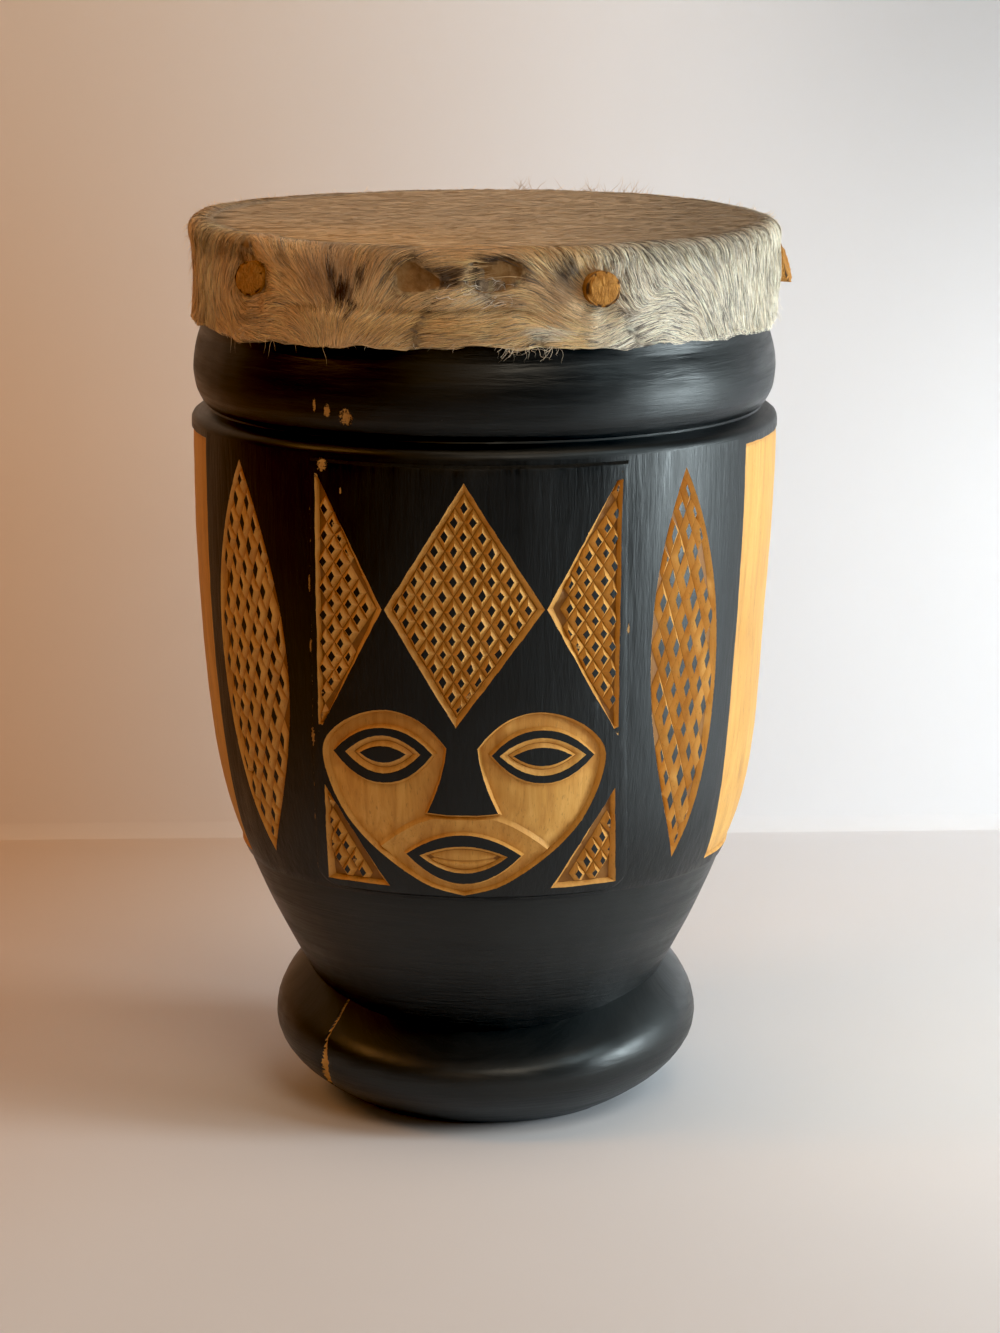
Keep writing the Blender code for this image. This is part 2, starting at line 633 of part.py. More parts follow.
def peg_mesh(deg, r_low, r_high, start, end, sides):
    bm = bmesh.new()
    length = end - start
    bmesh.ops.create_cone(bm, cap_ends=True, segments=sides, radius1=r_low * MM, radius2=r_high * MM, depth=length * MM)
    a = math.radians(deg)
    axis = Vector((math.sin(a), -math.cos(a), 0.0))
    turn = Vector((0, 0, 1)).rotation_difference(axis).to_matrix().to_4x4()
    mid = axis * (0.5 * (start + end) * MM) + Vector((0, 0, PEG_Z * MM))
    bmesh.ops.transform(bm, matrix=Matrix.Translation(mid) @ turn, verts=bm.verts)
    return bm


def to_object(bm, name, colour, rough):
    me = bpy.data.meshes.new(name)
    bm.to_mesh(me)
    bm.free()
    me.shade_smooth()
    me.set_sharp_from_angle(angle=math.radians(35.0))
    ob = bpy.data.objects.new(name, me)
    bpy.context.scene.collection.objects.link(ob)
    if colour:
        mat = bpy.data.materials.new(name + "_finish")
        mat.use_nodes = True
        node = mat.node_tree.nodes["Principled BSDF"]
        node.inputs["Base Color"].default_value = colour
        node.inputs["Roughness"].default_value = rough
        me.materials.append(mat)
    return ob


def cut(target, tool, name):
    mod = target.modifiers.new(name, "BOOLEAN")
    mod.operation = "DIFFERENCE"
    mod.solver = "EXACT"
    mod.object = tool
    tool.hide_render = True
    tool.display_type = "WIRE"


def main():
    clear_scene()
    shell = to_object(shell_mesh(), "shell", (0.03, 0.03, 0.032, 1.0), 0.45)
    hide = to_object(hide_mesh(), "hide_head", (0.55, 0.46, 0.36, 1.0), 0.8)
    for n in range(PEG_COUNT):
        deg = PEG_FIRST_DEG + 360.0 * n / PEG_COUNT
        to_object(peg_mesh(deg, PEG_R - PEG_TAPER, PEG_R, PEG_IN_R, PEG_OUT_R, PEG_SIDES), "peg_%d" % (n + 1), (0.62, 0.38, 0.17, 1.0), 0.7)
        hole = to_object(peg_mesh(deg, PEG_R + FIT_GAP, PEG_R + FIT_GAP, PEG_IN_R - 12.0, PEG_OUT_R + 8.0, PEG_SIDES), "peg_hole_%d" % (n + 1), None, 0)
        cut(shell, hole, "hole_%d" % (n + 1))
        cut(hide, hole, "hole_%d" % (n + 1))


main()
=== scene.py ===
import math
import random

import bmesh
import bpy
import numpy as np
from mathutils import Matrix, Vector, noise
from mathutils.geometry import delaunay_2d_cdt


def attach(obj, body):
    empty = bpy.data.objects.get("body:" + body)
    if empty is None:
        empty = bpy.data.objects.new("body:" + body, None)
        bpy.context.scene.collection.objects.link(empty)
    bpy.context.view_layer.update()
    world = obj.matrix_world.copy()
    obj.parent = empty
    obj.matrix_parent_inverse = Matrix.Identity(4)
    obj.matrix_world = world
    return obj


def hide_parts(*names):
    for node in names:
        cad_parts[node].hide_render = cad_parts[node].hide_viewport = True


MM = 0.001

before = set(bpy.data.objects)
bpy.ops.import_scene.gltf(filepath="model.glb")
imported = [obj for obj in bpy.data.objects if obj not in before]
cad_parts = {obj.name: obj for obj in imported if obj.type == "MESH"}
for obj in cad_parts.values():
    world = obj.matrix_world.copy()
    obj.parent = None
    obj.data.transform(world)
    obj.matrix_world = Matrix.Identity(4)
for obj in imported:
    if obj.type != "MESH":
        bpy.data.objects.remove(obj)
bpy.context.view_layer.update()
hand = random.Random(11)
strew = np.random.default_rng(23)

# Drum sizes in millimetres, as in the solids
BARREL_LOW, BARREL_H, HEAD_H = 104.5, 176.5, 81.0
BARREL_TOP = BARREL_LOW + BARREL_H
HIDE_TOP = BARREL_TOP + HEAD_H
BARREL_R, BARREL_LOW_R, HIDE_R = 118.0, 97.9, 118.0
BASE_R, FOOT_R, FOOT_WIDEST = 55.0, 86.5, 33.0
CREASE_Z, CREASE_R, CUP_TOP_R = 57.0, 74.2, 96.6
RIM_INNER_R, RIM_R, RIM_TOP = 101.0, 114.2, HIDE_TOP - 3.3
PANEL_HALF, PANEL_RAISE = 61.0, 2.0
GROOVE, STEPS = 2.2, 240
# The log is drawn unrolled from the seam, with PER_DEG millimetres for each degree
SEAM, PER_DEG = -241.5, 2.0
PEG_Z, PEG_FIRST = HIDE_TOP - 16.5, 25.3
HEM_Z = HIDE_TOP - 38.5


def barrel_r(z):
    t = np.clip((np.asarray(z, float) - BARREL_LOW) / BARREL_H, 0, 1)
    return BARREL_R - (BARREL_R - BARREL_LOW_R) * (0.6 * (1 - t) ** 1.8 + 0.4 * (1 - t) ** 9)


def cup_r(z):
    t = (z - CREASE_Z) / (BARREL_LOW - 1.5 - CREASE_Z)
    return CREASE_R + (CUP_TOP_R - CREASE_R) * (t + 0.2 * max(0.0, t) * (1 - t))


def foot_r(z):
    if z < FOOT_WIDEST:
        return FOOT_R - (FOOT_R - BASE_R) * ((FOOT_WIDEST - z) / FOOT_WIDEST) ** 1.85
    return FOOT_R - (FOOT_R - CREASE_R) * ((z - FOOT_WIDEST) / (CREASE_Z - FOOT_WIDEST)) ** 2.15


def crease_z(a):
    return 53.25 - 7.5 * math.cos(a) - 3.75 * math.cos(2 * a)


def hem_z(a):
    return HEM_Z + 2.0 * (0.55 * np.sin(2 * a + 0.9) + 0.35 * np.sin(5 * a + 2.2) + 0.25 * np.sin(9 * a))


def clamp(v, low=0.0, high=1.0):
    return max(low, min(high, v))


def ease(a, b, x):
    t = np.clip((x - a) / (b - a), 0, 1)
    return t * t * (3 - 2 * t)


# Slight unevenness of hand-shaped wood, the same wherever pieces meet, and a belly that is fuller at the left
def unevenness(a, z):
    x, y = BARREL_R * math.sin(a), -BARREL_R * math.cos(a)
    q = Vector((x, y, z * 0.8)) * 0.021
    r = Vector((x, y, z)) * 0.11
    side = x / BARREL_R
    fuller = -1.2 * side * abs(side) * math.exp(-((z - 195.0) / 55.0) ** 2)
    return 0.45 * noise.noise(q) + 0.13 * noise.noise(r) + fuller


# Small helpers for meshes and objects
def add_to_scene(name, data):
    ob = bpy.data.objects.new(name, data)
    bpy.context.scene.collection.objects.link(ob)
    return ob


def spin(bm, rows, steps):
    edges = [bm.edges.new(pair) for pair in zip(rows, rows[1:])]
    bmesh.ops.spin(bm, geom=rows + edges, cent=(0, 0, 0), axis=(0, 0, 1), angle=math.tau,
                   steps=steps, use_merge=True, use_duplicate=False)


def vertex_places(me):
    flat = np.zeros(len(me.vertices) * 3)
    me.vertices.foreach_get("co", flat)
    return flat.reshape(-1, 3) / MM


def loop_corners(me):
    corner = np.zeros(len(me.loops), int)
    me.loops.foreach_get("vertex_index", corner)
    return corner


def set_tint(me, colours):
    layer = me.color_attributes.new("tint", "FLOAT_COLOR", "POINT")
    rgba = np.concatenate([colours, np.ones((len(colours), 1))], 1)
    layer.data.foreach_set("color", rgba.astype(np.float32).ravel())


def unit_rows(rows):
    return rows / (np.linalg.norm(rows, axis=2, keepdims=True) + 1e-12)


def rolled(across, tangent, roll):
    return across * np.cos(roll)[:, None, None] + np.cross(tangent, across) * np.sin(roll)[:, None, None]


def between(p, q, t):
    return (p[0] + t * (q[0] - p[0]), p[1] + t * (q[1] - p[1]))


# Shader helpers
def socket(group, name, kind, way="INPUT", value=None):
    s = group.interface.new_socket(name=name, in_out=way, socket_type=kind)
    if value is not None:
        s.default_value = value
    return s


class Nodes:
    def __init__(self, tree):
        self.tree = tree

    def add(self, kind, **values):
        n = self.tree.nodes.new(kind)
        for k, v in values.items():
            setattr(n, k, v)
        return n

    def wire(self, out, inp):
        self.tree.links.new(out, inp)
        return out

    def math(self, op, a, b=None, c=None):
        n = self.add("ShaderNodeMath", operation=op)
        for i, v in enumerate((a, b, c)):
            if v is None:
                continue
            if isinstance(v, (int, float)):
                n.inputs[i].default_value = v
            else:
                self.wire(v, n.inputs[i])
        return n.outputs[0]

    def plus(self, a, b):
        return self.math("ADD", a, b)

    def minus(self, a, b):
        return self.math("SUBTRACT", a, b)

    def times(self, a, b):
        return self.math("MULTIPLY", a, b)

    # Inputs 0, 6 and 7 of a colour mix are its factor and its two colours
    def mix(self, fac, a, b, blend="MIX"):
        n = self.add("ShaderNodeMix", data_type="RGBA", blend_type=blend)
        for i, v in ((0, fac), (6, a), (7, b)):
            if isinstance(v, (int, float)):
                n.inputs[i].default_value = v
            elif isinstance(v, tuple):
                n.inputs[i].default_value = (*v, 1)
            else:
                self.wire(v, n.inputs[i])
        return n.outputs[2]

    def noise(self, vec, scale, detail=3.0, rough=0.55, dist=0.0):
        n = self.add("ShaderNodeTexNoise")
        n.inputs["Scale"].default_value = scale
        n.inputs["Detail"].default_value = detail
        n.inputs["Roughness"].default_value = rough
        n.inputs["Distortion"].default_value = dist
        self.wire(vec, n.inputs["Vector"])
        return n.outputs["Fac"]

    def mapping(self, vec, scale=(1, 1, 1), loc=(0, 0, 0), rot=(0, 0, 0)):
        n = self.add("ShaderNodeMapping")
        n.inputs["Scale"].default_value = scale
        n.inputs["Location"].default_value = loc
        n.inputs["Rotation"].default_value = rot
        self.wire(vec, n.inputs["Vector"])
        return n.outputs[0]

    def ramp(self, fac, *stops):
        n = self.add("ShaderNodeValToRGB")
        el = n.color_ramp.elements
        while len(el) < len(stops):
            el.new(0.5)
        for e, (pos, col) in zip(el, stops):
            e.position = pos
            e.color = (*col, 1)
        self.wire(fac, n.inputs[0])
        return n.outputs[0]

    def step(self, value, low, high):
        n = self.add("ShaderNodeMapRange", interpolation_type="SMOOTHSTEP")
        n.inputs["From Min"].default_value = low
        n.inputs["From Max"].default_value = high
        self.wire(value, n.inputs["Value"])
        return n.outputs[0]

    def attribute(self, name):
        return self.add("ShaderNodeAttribute", attribute_name=name).outputs["Fac"]

    def place(self):
        return self.add("ShaderNodeTexCoord").outputs["Object"]

    def split(self, vec):
        n = self.add("ShaderNodeSeparateXYZ")
        self.wire(vec, n.inputs[0])
        return n.outputs


def new_group(name, inputs, outputs):
    g = bpy.data.node_groups.new(name, "ShaderNodeTree")
    for args in inputs:
        socket(g, *args)
    for n, kind in outputs:
        socket(g, n, kind, "OUTPUT")
    k = Nodes(g)
    return g, k, k.add("NodeGroupInput"), k.add("NodeGroupOutput")


def use_group(k, g, **values):
    n = k.add("ShaderNodeGroup")
    n.node_tree = g
    for key, v in values.items():
        s = n.inputs[key.replace("_", " ")]
        if isinstance(v, (int, float, tuple)):
            s.default_value = v
        else:
            k.wire(v, s)
    return n


# Pale carved wood: growth streaks along the log, warm blotches, tool fibres
def make_wood_group():
    g, k, i, o = new_group(
        "log_wood",
        [("Place", "NodeSocketVector"), ("Warmth", "NodeSocketFloat", "INPUT", 0.4)],
        [("Colour", "NodeSocketColor"), ("Rough", "NodeSocketFloat"), ("Height", "NodeSocketFloat")])
    long = k.mapping(i.outputs["Place"], (1.0, 1.0, 0.07))
    streak = k.noise(long, 190.0, 5.0, 0.62, 0.6)
    fine = k.noise(long, 900.0, 3.0, 0.6)
    pores = k.noise(k.mapping(i.outputs["Place"], (1, 1, 0.16)), 1500.0, 2.0, 0.5)
    cloud = k.noise(i.outputs["Place"], 22.0, 3.0, 0.5)
    base = k.ramp(streak, (0.28, (0.45, 0.200, 0.038)), (0.47, (0.63, 0.330, 0.078)),
                  (0.70, (0.77, 0.460, 0.140)))
    warm = k.mix(k.times(k.step(cloud, 0.38, 0.72), i.outputs["Warmth"]), base, (0.50, 0.225, 0.045))
    pit = k.step(pores, 0.60, 0.72)
    col = k.mix(k.times(pit, 0.45), warm, (0.24, 0.105, 0.022))
    k.wire(k.mix(k.times(fine, 0.30), col, (0.82, 0.54, 0.19)), o.inputs["Colour"])
    k.wire(k.math("MULTIPLY_ADD", streak, 0.25, 0.42), o.inputs["Rough"])
    k.wire(k.plus(k.times(streak, 0.6), k.times(fine, 0.4)), o.inputs["Height"])
    return g


# Brushed black paint: strokes, with their lighter streaks a painted sheen, specks, and where it has gone over
# an arris
def make_paint_group():
    g, k, i, o = new_group(
        "brushed_paint",
        [("Place", "NodeSocketVector"), ("Stroke", "NodeSocketVector"),
         ("Worn", "NodeSocketFloat"), ("Wear", "NodeSocketFloat", "INPUT", 0.5)],
        [("Colour", "NodeSocketColor"), ("Rough", "NodeSocketFloat"),
         ("Height", "NodeSocketFloat"), ("Bare", "NodeSocketFloat")])
    stroke = k.noise(i.outputs["Stroke"], 420.0, 5.0, 0.65, 0.3)
    broad = k.noise(i.outputs["Stroke"], 75.0, 3.0, 0.5)
    cloud = k.noise(i.outputs["Place"], 30.0, 3.0, 0.55)
    speck = k.noise(i.outputs["Place"], 700.0, 2.0, 0.5)
    dust = k.times(k.step(cloud, 0.45, 0.8), 0.5)
    col = k.mix(dust, (0.0028, 0.0027, 0.0029), (0.0075, 0.0072, 0.0070))
    # Painted sheen: the brush strokes are lightened in colour, as glints on their ridges
    col = k.mix(k.times(k.step(stroke, 0.56, 0.80), 0.35), col, (0.016, 0.0155, 0.015))
    col = k.mix(k.times(k.step(speck, 0.77, 0.83), 0.30), col, (0.12, 0.115, 0.11))
    k.wire(col, o.inputs["Colour"])
    rough = k.math("MULTIPLY_ADD", stroke, 0.32, 0.20)
    k.wire(k.plus(rough, k.times(k.step(broad, 0.35, 0.7), 0.12)), o.inputs["Rough"])
    k.wire(k.plus(k.times(stroke, 0.9), k.times(broad, 0.5)), o.inputs["Height"])
    ragged = k.noise(i.outputs["Place"], 420.0, 4.0, 0.65)
    gate = k.plus(i.outputs["Worn"], k.times(k.minus(ragged, 0.5), 2.4))
    limit = k.minus(1.55, k.times(i.outputs["Wear"], 0.9))
    k.wire(k.step(k.minus(gate, limit), -0.04, 0.10), o.inputs["Bare"])
    return g


WOOD = make_wood_group()
PAINT = make_paint_group()


def bump(k, height, strength, distance):
    n = k.add("ShaderNodeBump")
    n.inputs["Strength"].default_value = strength
    n.inputs["Distance"].default_value = distance
    k.wire(height, n.inputs["Height"])
    return n.outputs[0]


def start_material(name, rough=None, spec=0.5):
    m = bpy.data.materials.new(name)
    m.use_nodes = True
    k = Nodes(m.node_tree)
    b = m.node_tree.nodes["Principled BSDF"]
    b.inputs["Specular IOR Level"].default_value = spec
    if rough is not None:
        b.inputs["Roughness"].default_value = rough
    return m, k, b


# Colour of the painted shade line along the bottom of a cut
VALLEY_SHADE_COLOUR = (0.15, 0.060, 0.014)


# Cut wood is painted with shade toward the bottom of each cut and with a dark line of painted shade along its
# valley, and has paint smeared on its arris
def wood_material(name, warmth):
    m, k, b = start_material(name, spec=0.35)
    g = use_group(k, WOOD, Place=k.place(), Warmth=warmth)
    low = k.attribute("low")
    # Painted shade: the wood darkens toward the bottom of each cut, and a dark line runs along its valley
    line = k.step(low, 0.90, 1.0)
    cut_bottom_shade = k.times(k.step(low, 0.25, 1.0), 0.36)
    col = k.mix(cut_bottom_shade, g.outputs["Colour"], (0.40, 0.175, 0.035))
    col = k.mix(k.times(line, 0.72), col, VALLEY_SHADE_COLOUR)
    smear = k.noise(k.place(), 330.0, 4.0, 0.6)
    edge = k.step(k.plus(k.attribute("worn"), k.times(smear, 0.7)), 1.36, 1.48)
    col = k.mix(k.times(edge, 0.8), col, (0.02, 0.018, 0.016))
    k.wire(col, b.inputs["Base Color"])
    k.wire(g.outputs["Rough"], b.inputs["Roughness"])
    k.wire(bump(k, g.outputs["Height"], 0.35, 0.0004), b.inputs["Normal"])
    return m


# Chips that show bare wood: x, z of each centre on the front, and half sizes, in metres
CHIPS = [(-0.0592, 0.2992, 0.0006, 0.0024), (-0.0540, 0.2975, 0.0013, 0.0025),
         (-0.0466, 0.2957, 0.0024, 0.0032), (-0.0560, 0.2772, 0.0018, 0.0022),
         (-0.0486, 0.2680, 0.0004, 0.0013), (-0.0612, 0.1690, 0.0008, 0.0034),
         (-0.0618, 0.2300, 0.0004, 0.0030), (-0.0616, 0.2050, 0.0004, 0.0030),
         (0.0613, 0.2130, 0.0005, 0.0020)]


# Brush strokes run round the log where no stroke scale is given
def paint_material(name, wear, stroke_scale=None):
    m, k, b = start_material(name, spec=0.60)
    b.inputs["Specular Tint"].default_value = (0.88, 0.95, 0.97, 1)
    place = k.place()
    x_out, y_out, z_out = k.split(place)
    if stroke_scale is None:
        turn = k.math("ARCTAN2", y_out, x_out)
        far = k.math("SQRT", k.plus(k.times(x_out, x_out), k.times(y_out, y_out)))
        join = k.add("ShaderNodeCombineXYZ")
        k.wire(k.times(k.math("SINE", turn), 0.008), join.inputs[0])
        k.wire(k.times(k.math("COSINE", turn), 0.008), join.inputs[1])
        k.wire(k.plus(z_out, far), join.inputs[2])
        stroke = join.outputs[0]
    else:
        stroke = k.mapping(place, stroke_scale)
    g = use_group(k, PAINT, Place=place, Stroke=stroke, Worn=k.attribute("worn"), Wear=wear)
    w = use_group(k, WOOD, Place=place, Warmth=0.7)
    bare = g.outputs["Bare"]
    # Below the barrel, on the cup and the foot, a cool grey is added to the black paint
    paint_greyer_below_barrel = k.mix(k.step(z_out, 0.108, 0.096), g.outputs["Colour"], (0.0085, 0.0095, 0.0095), "ADD")
    front = k.math("LESS_THAN", y_out, 0.0)
    rag = k.times(k.minus(k.noise(place, 1100.0, 4.0, 0.7), 0.5), 5.6)
    for x, z, hx, hz in CHIPS:
        dx = k.math("DIVIDE", k.minus(x_out, x), hx)
        dz = k.math("DIVIDE", k.minus(z_out, z), hz)
        d = k.plus(k.times(dx, dx), k.times(dz, dz))
        spot = k.times(k.math("LESS_THAN", d, 2.2), k.step(k.plus(d, rag), 1.0, 0.7))
        bare = k.math("MAXIMUM", bare, k.times(spot, front))
    k.wire(k.mix(bare, paint_greyer_below_barrel, k.mix(0.35, w.outputs["Colour"], (0.16, 0.085, 0.03))), b.inputs["Base Color"])
    k.wire(k.plus(k.times(g.outputs["Rough"], k.minus(1.0, bare)), k.times(bare, 0.62)),
           b.inputs["Roughness"])
    h = k.minus(g.outputs["Height"], k.times(bare, 1.5))
    k.wire(bump(k, h, 0.8, 0.00034), b.inputs["Normal"])
    return m


PAINT_ROUND = paint_material("black_paint_round_the_log", 0.45)
PAINT_UPRIGHT = paint_material("black_paint_down_the_barrel", 0.55, (1.0, 1.0, 0.10))
CUT_WOOD = wood_material("cut_wood", 0.45)
INNER_WOOD = wood_material("hollowed_wood", 0.9)


# Flat drawing helpers, outlines are lists of (x, z)
def area(poly):
    return 0.5 * sum(a[0] * b[1] - b[0] * a[1] for a, b in zip(poly, poly[1:] + poly[:1]))


def counter(poly):
    return poly if area(poly) > 0 else poly[::-1]


def inset(poly, d):
    poly = counter(poly)
    n = len(poly)
    out = []
    for i in range(n):
        p0, p1, p2 = poly[i - 1], poly[i], poly[(i + 1) % n]
        a = Vector((p1[0] - p0[0], p1[1] - p0[1])).normalized()
        b = Vector((p2[0] - p1[0], p2[1] - p1[1])).normalized()
        na, nb = Vector((-a.y, a.x)), Vector((-b.y, b.x))
        m = na + nb
        k = d / max(0.3, m.dot(na))
        out.append((p1[0] + m.x * k, p1[1] + m.y * k))
    return out


def clip_convex(poly, hull):
    for a, b in zip(hull, hull[1:] + hull[:1]):
        n = (-(b[1] - a[1]), b[0] - a[0])
        c = n[0] * a[0] + n[1] * a[1]
        out = []
        for p, q in zip(poly, poly[1:] + poly[:1]):
            dp, dq = n[0] * p[0] + n[1] * p[1] - c, n[0] * q[0] + n[1] * q[1] - c
            if dp >= 0:
                out.append(p)
            if dp * dq < 0:
                t = dp / (dp - dq)
                out.append(between(p, q, t))
        poly = out
        if len(poly) < 3:
            return []
    return poly


def tidy(poly, tol):
    out = []
    for p in poly:
        if not out or math.dist(p, out[-1]) > tol:
            out.append(p)
    if len(out) > 2 and math.dist(out[0], out[-1]) <= tol:
        out.pop()
    return out


# Cuts a long edge into short ones and lets the knife wander a little
def wander(poly, amount, step=4.0, closed=True):
    out = []
    pairs = list(zip(poly, poly[1:] + (poly[:1] if closed else [])))
    for a, b in pairs:
        out.append(a)
        n = max(1, int(math.dist(a, b) / step))
        nx, nz = -(b[1] - a[1]), b[0] - a[0]
        L = max(1e-6, math.hypot(nx, nz))
        for i in range(1, n):
            t = i / n + hand.uniform(-0.2, 0.2) / n
            j = clamp(hand.gauss(0, 1), -1.6, 1.6) * amount
            out.append((a[0] + t * (b[0] - a[0]) + j * nx / L, a[1] + t * (b[1] - a[1]) + j * nz / L))
    if not closed:
        out.append(poly[-1])
    return out


def curve(pts, n=4):
    out = []
    for i in range(len(pts) - 1):
        p0, p1, p2, p3 = pts[max(0, i - 1)], pts[i], pts[i + 1], pts[min(len(pts) - 1, i + 2)]
        for k in range(n):
            t = k / n
            out.append(tuple(0.5 * (2 * b + (c - a) * t + (2 * a - 5 * b + 4 * c - d) * t * t
                                    + (3 * b - a - 3 * c + d) * t ** 3)
                             for a, b, c, d in zip(p0, p1, p2, p3)))
    out.append(pts[-1])
    return out


def almond(cx, cz, half, up, down, n=10, skew=0.0, power=2.0):
    low = [(cx + half * (-1 + 2 * i / n), cz + skew * (-1 + 2 * i / n)
            - down * (1 - abs(-1 + 2 * i / n) ** power)) for i in range(n)]
    top = [(cx + half * (1 - 2 * i / n), cz + skew * (1 - 2 * i / n)
            + up * (1 - abs(1 - 2 * i / n) ** power)) for i in range(n)]
    return low + top


def arc(cx, cz, r, a0, a1, n):
    return [(cx + r * math.cos(math.radians(a0 + (a1 - a0) * i / n)),
             cz + r * math.sin(math.radians(a0 + (a1 - a0) * i / n))) for i in range(n + 1)]


def holds(poly, p):
    x, z = p[..., 0], p[..., 1]
    hit = np.zeros(x.shape, bool)
    for a, b in zip(poly, poly[1:] + poly[:1]):
        if a[1] != b[1]:
            hit ^= ((a[1] > z) != (b[1] > z)) & (x < a[0] + (z - a[1]) * (b[0] - a[0]) / (b[1] - a[1]))
    return hit


def gap_to(poly, p):
    best = np.full(p.shape[:-1], 1e9)
    for a, b in zip(poly, poly[1:] + poly[:1]):
        ab = np.array([b[0] - a[0], b[1] - a[1]])
        t = np.clip(((p - a) @ ab) / max(1e-9, ab @ ab), 0, 1)
        best = np.minimum(best, np.linalg.norm(p - a - t[..., None] * ab, axis=-1))
    return best


def along(deg):
    return (deg - SEAM) * PER_DEG


def panel_place(centre):
    def place(p):
        r = float(barrel_r(p[1])) + PANEL_RAISE
        return along(centre + math.degrees(math.asin(clamp(p[0] / r, -0.95, 0.95)))), p[1]
    return place


MIDDLE_R = float(barrel_r(BARREL_LOW + 0.6 * BARREL_H))


def band_place(centre):
    return lambda p: (along(centre + math.degrees(p[0] / MIDDLE_R)), p[1])


# The whole carving, drawn flat with the depth of each line, then wrapped round the log
class Drawing:
    def __init__(self):
        self.pts, self.depth, self.worn, self.low, self.lines, self.taken = [], [], [], [], [], []

    def dots(self, pts, depth, place, worn=0.0, low=0.0, shake=0.0):
        ids = []
        for p in pts:
            d = depth(p) if callable(depth) else depth
            self.pts.append(place(p))
            self.depth.append(d + (hand.uniform(-shake, shake) if shake else 0.0))
            self.worn.append(worn(p) if callable(worn) else worn)
            self.low.append(low)
            ids.append(len(self.pts) - 1)
        return ids

    def line(self, pts, depth, place, closed=True, **more):
        ids = self.dots(pts, depth, place, **more)
        self.lines += list(zip(ids, ids[1:]))
        if closed:
            self.lines.append((ids[-1], ids[0]))

    def take(self, poly, place):
        self.taken.append([place(p) for p in poly])

    # Painted edge round a cut, so that wear keeps to the arris
    def brink(self, poly, level, place, out=0.55):
        self.line(poly, level, place, worn=1.0)
        self.line(inset(poly, -out), level, place)

    def lattice(self, poly, place, level, origin, da, db, pitch_a, pitch_b, fill=0.40, edge=1.75):
        poly = counter(poly)
        self.take(inset(poly, -0.6), place)
        rough = wander(poly, 0.10, 3.6)
        self.brink(rough, level, place)
        valley = inset(poly, edge)
        core = inset(poly, edge + 0.85)
        cut = wander(valley, 0.10, 3.6)
        self.line(cut, level - GROOVE, place, low=1.0, shake=0.18)
        na, nb = (-da[1], da[0]), (-db[1], db[0])
        span = 26
        shift_a, shift_b, tip_a, tip_b = [
            [hand.gauss(0, spread) for _ in range(2 * span + 2)] for spread in (0.055, 0.055, 0.006, 0.006)]

        def value(table, f):
            i = int(math.floor(f)) + span
            t = f - math.floor(f)
            i = clamp(i, 0, len(table) - 2)
            return table[i] * (1 - t) + table[i + 1] * t

        def crossing(i, j):
            fa, fb = i + value(shift_a, i) + value(tip_a, i) * j, j + value(shift_b, j) + value(tip_b, j) * i
            ca = origin[0] * na[0] + origin[1] * na[1] + fa * pitch_a
            cb = origin[0] * nb[0] + origin[1] * nb[1] + fb * pitch_b
            det = na[0] * nb[1] - na[1] * nb[0]
            return ((ca * nb[1] - cb * na[1]) / det, (na[0] * cb - nb[0] * ca) / det)

        def run_ends(p, q, hull):
            lo, hi = 0.0, 1.0
            d = (q[0] - p[0], q[1] - p[1])
            for a, b in zip(hull, hull[1:] + hull[:1]):
                n = (-(b[1] - a[1]), b[0] - a[0])
                num = n[0] * (p[0] - a[0]) + n[1] * (p[1] - a[1])
                den = n[0] * d[0] + n[1] * d[1]
                if abs(den) < 1e-12:
                    if num < 0:
                        return None
                    continue
                t = -num / den
                if den > 0:
                    lo = max(lo, t)
                else:
                    hi = min(hi, t)
            return (lo, hi) if hi > lo else None

        reach = inset(poly, edge - 0.1)
        for fam in (0, 1):
            for i in range(-span + 1, span):
                row = [crossing(i, j) if fam == 0 else crossing(j, i) for j in range(-span + 1, span)]
                chain = []
                for p, q in zip(row, row[1:]):
                    ends = run_ends(p, q, reach)
                    if not ends:
                        continue
                    lo, hi = ends
                    if not chain:
                        chain.append(between(p, q, lo))
                    chain.append(between(p, q, hi))
                chain = tidy(chain, 0.7)
                if len(chain) >= 2 and math.dist(chain[0], chain[-1]) > 2.2:
                    self.line(chain, level - GROOVE * hand.uniform(0.9, 1.08), place, closed=False,
                              low=1.0, shake=0.1)
        m = 0.5 * (1 - fill)
        for i in range(-span + 1, span - 1):
            for j in range(-span + 1, span - 1):
                e = [m + hand.gauss(0, 0.022) for _ in range(8)]
                cell = [crossing(i + e[0], j + e[1]), crossing(i + 1 - e[2], j + e[3]),
                        crossing(i + 1 - e[4], j + 1 - e[5]), crossing(i + e[6], j + 1 - e[7])]
                island = tidy(clip_convex(counter(cell), core), 0.45)
                if len(island) < 3 or abs(area(island)) < 0.16 * pitch_a * pitch_b * fill * fill * 1.1:
                    continue
                up = level - hand.uniform(0.0, 0.18)
                self.line(island, up, place, worn=1.0)
                core_of = inset(island, 0.42)
                if abs(area(core_of)) > 1.2:
                    self.line(core_of, up + 0.02, place)


def unit(x, z):
    k = math.hypot(x, z)
    return (x / k, z / k)


def panel_outline(grow):
    h, c = PANEL_HALF + grow, 9.0 + grow
    low, top = BARREL_LOW + 1.7 - grow, BARREL_TOP - 2.8 + grow
    corners = arc(-h + c, low + c, c, 180, 270, 10) + arc(h - c, low + c, c, 270, 360, 10)
    return corners + [(h, top), (-h, top)]


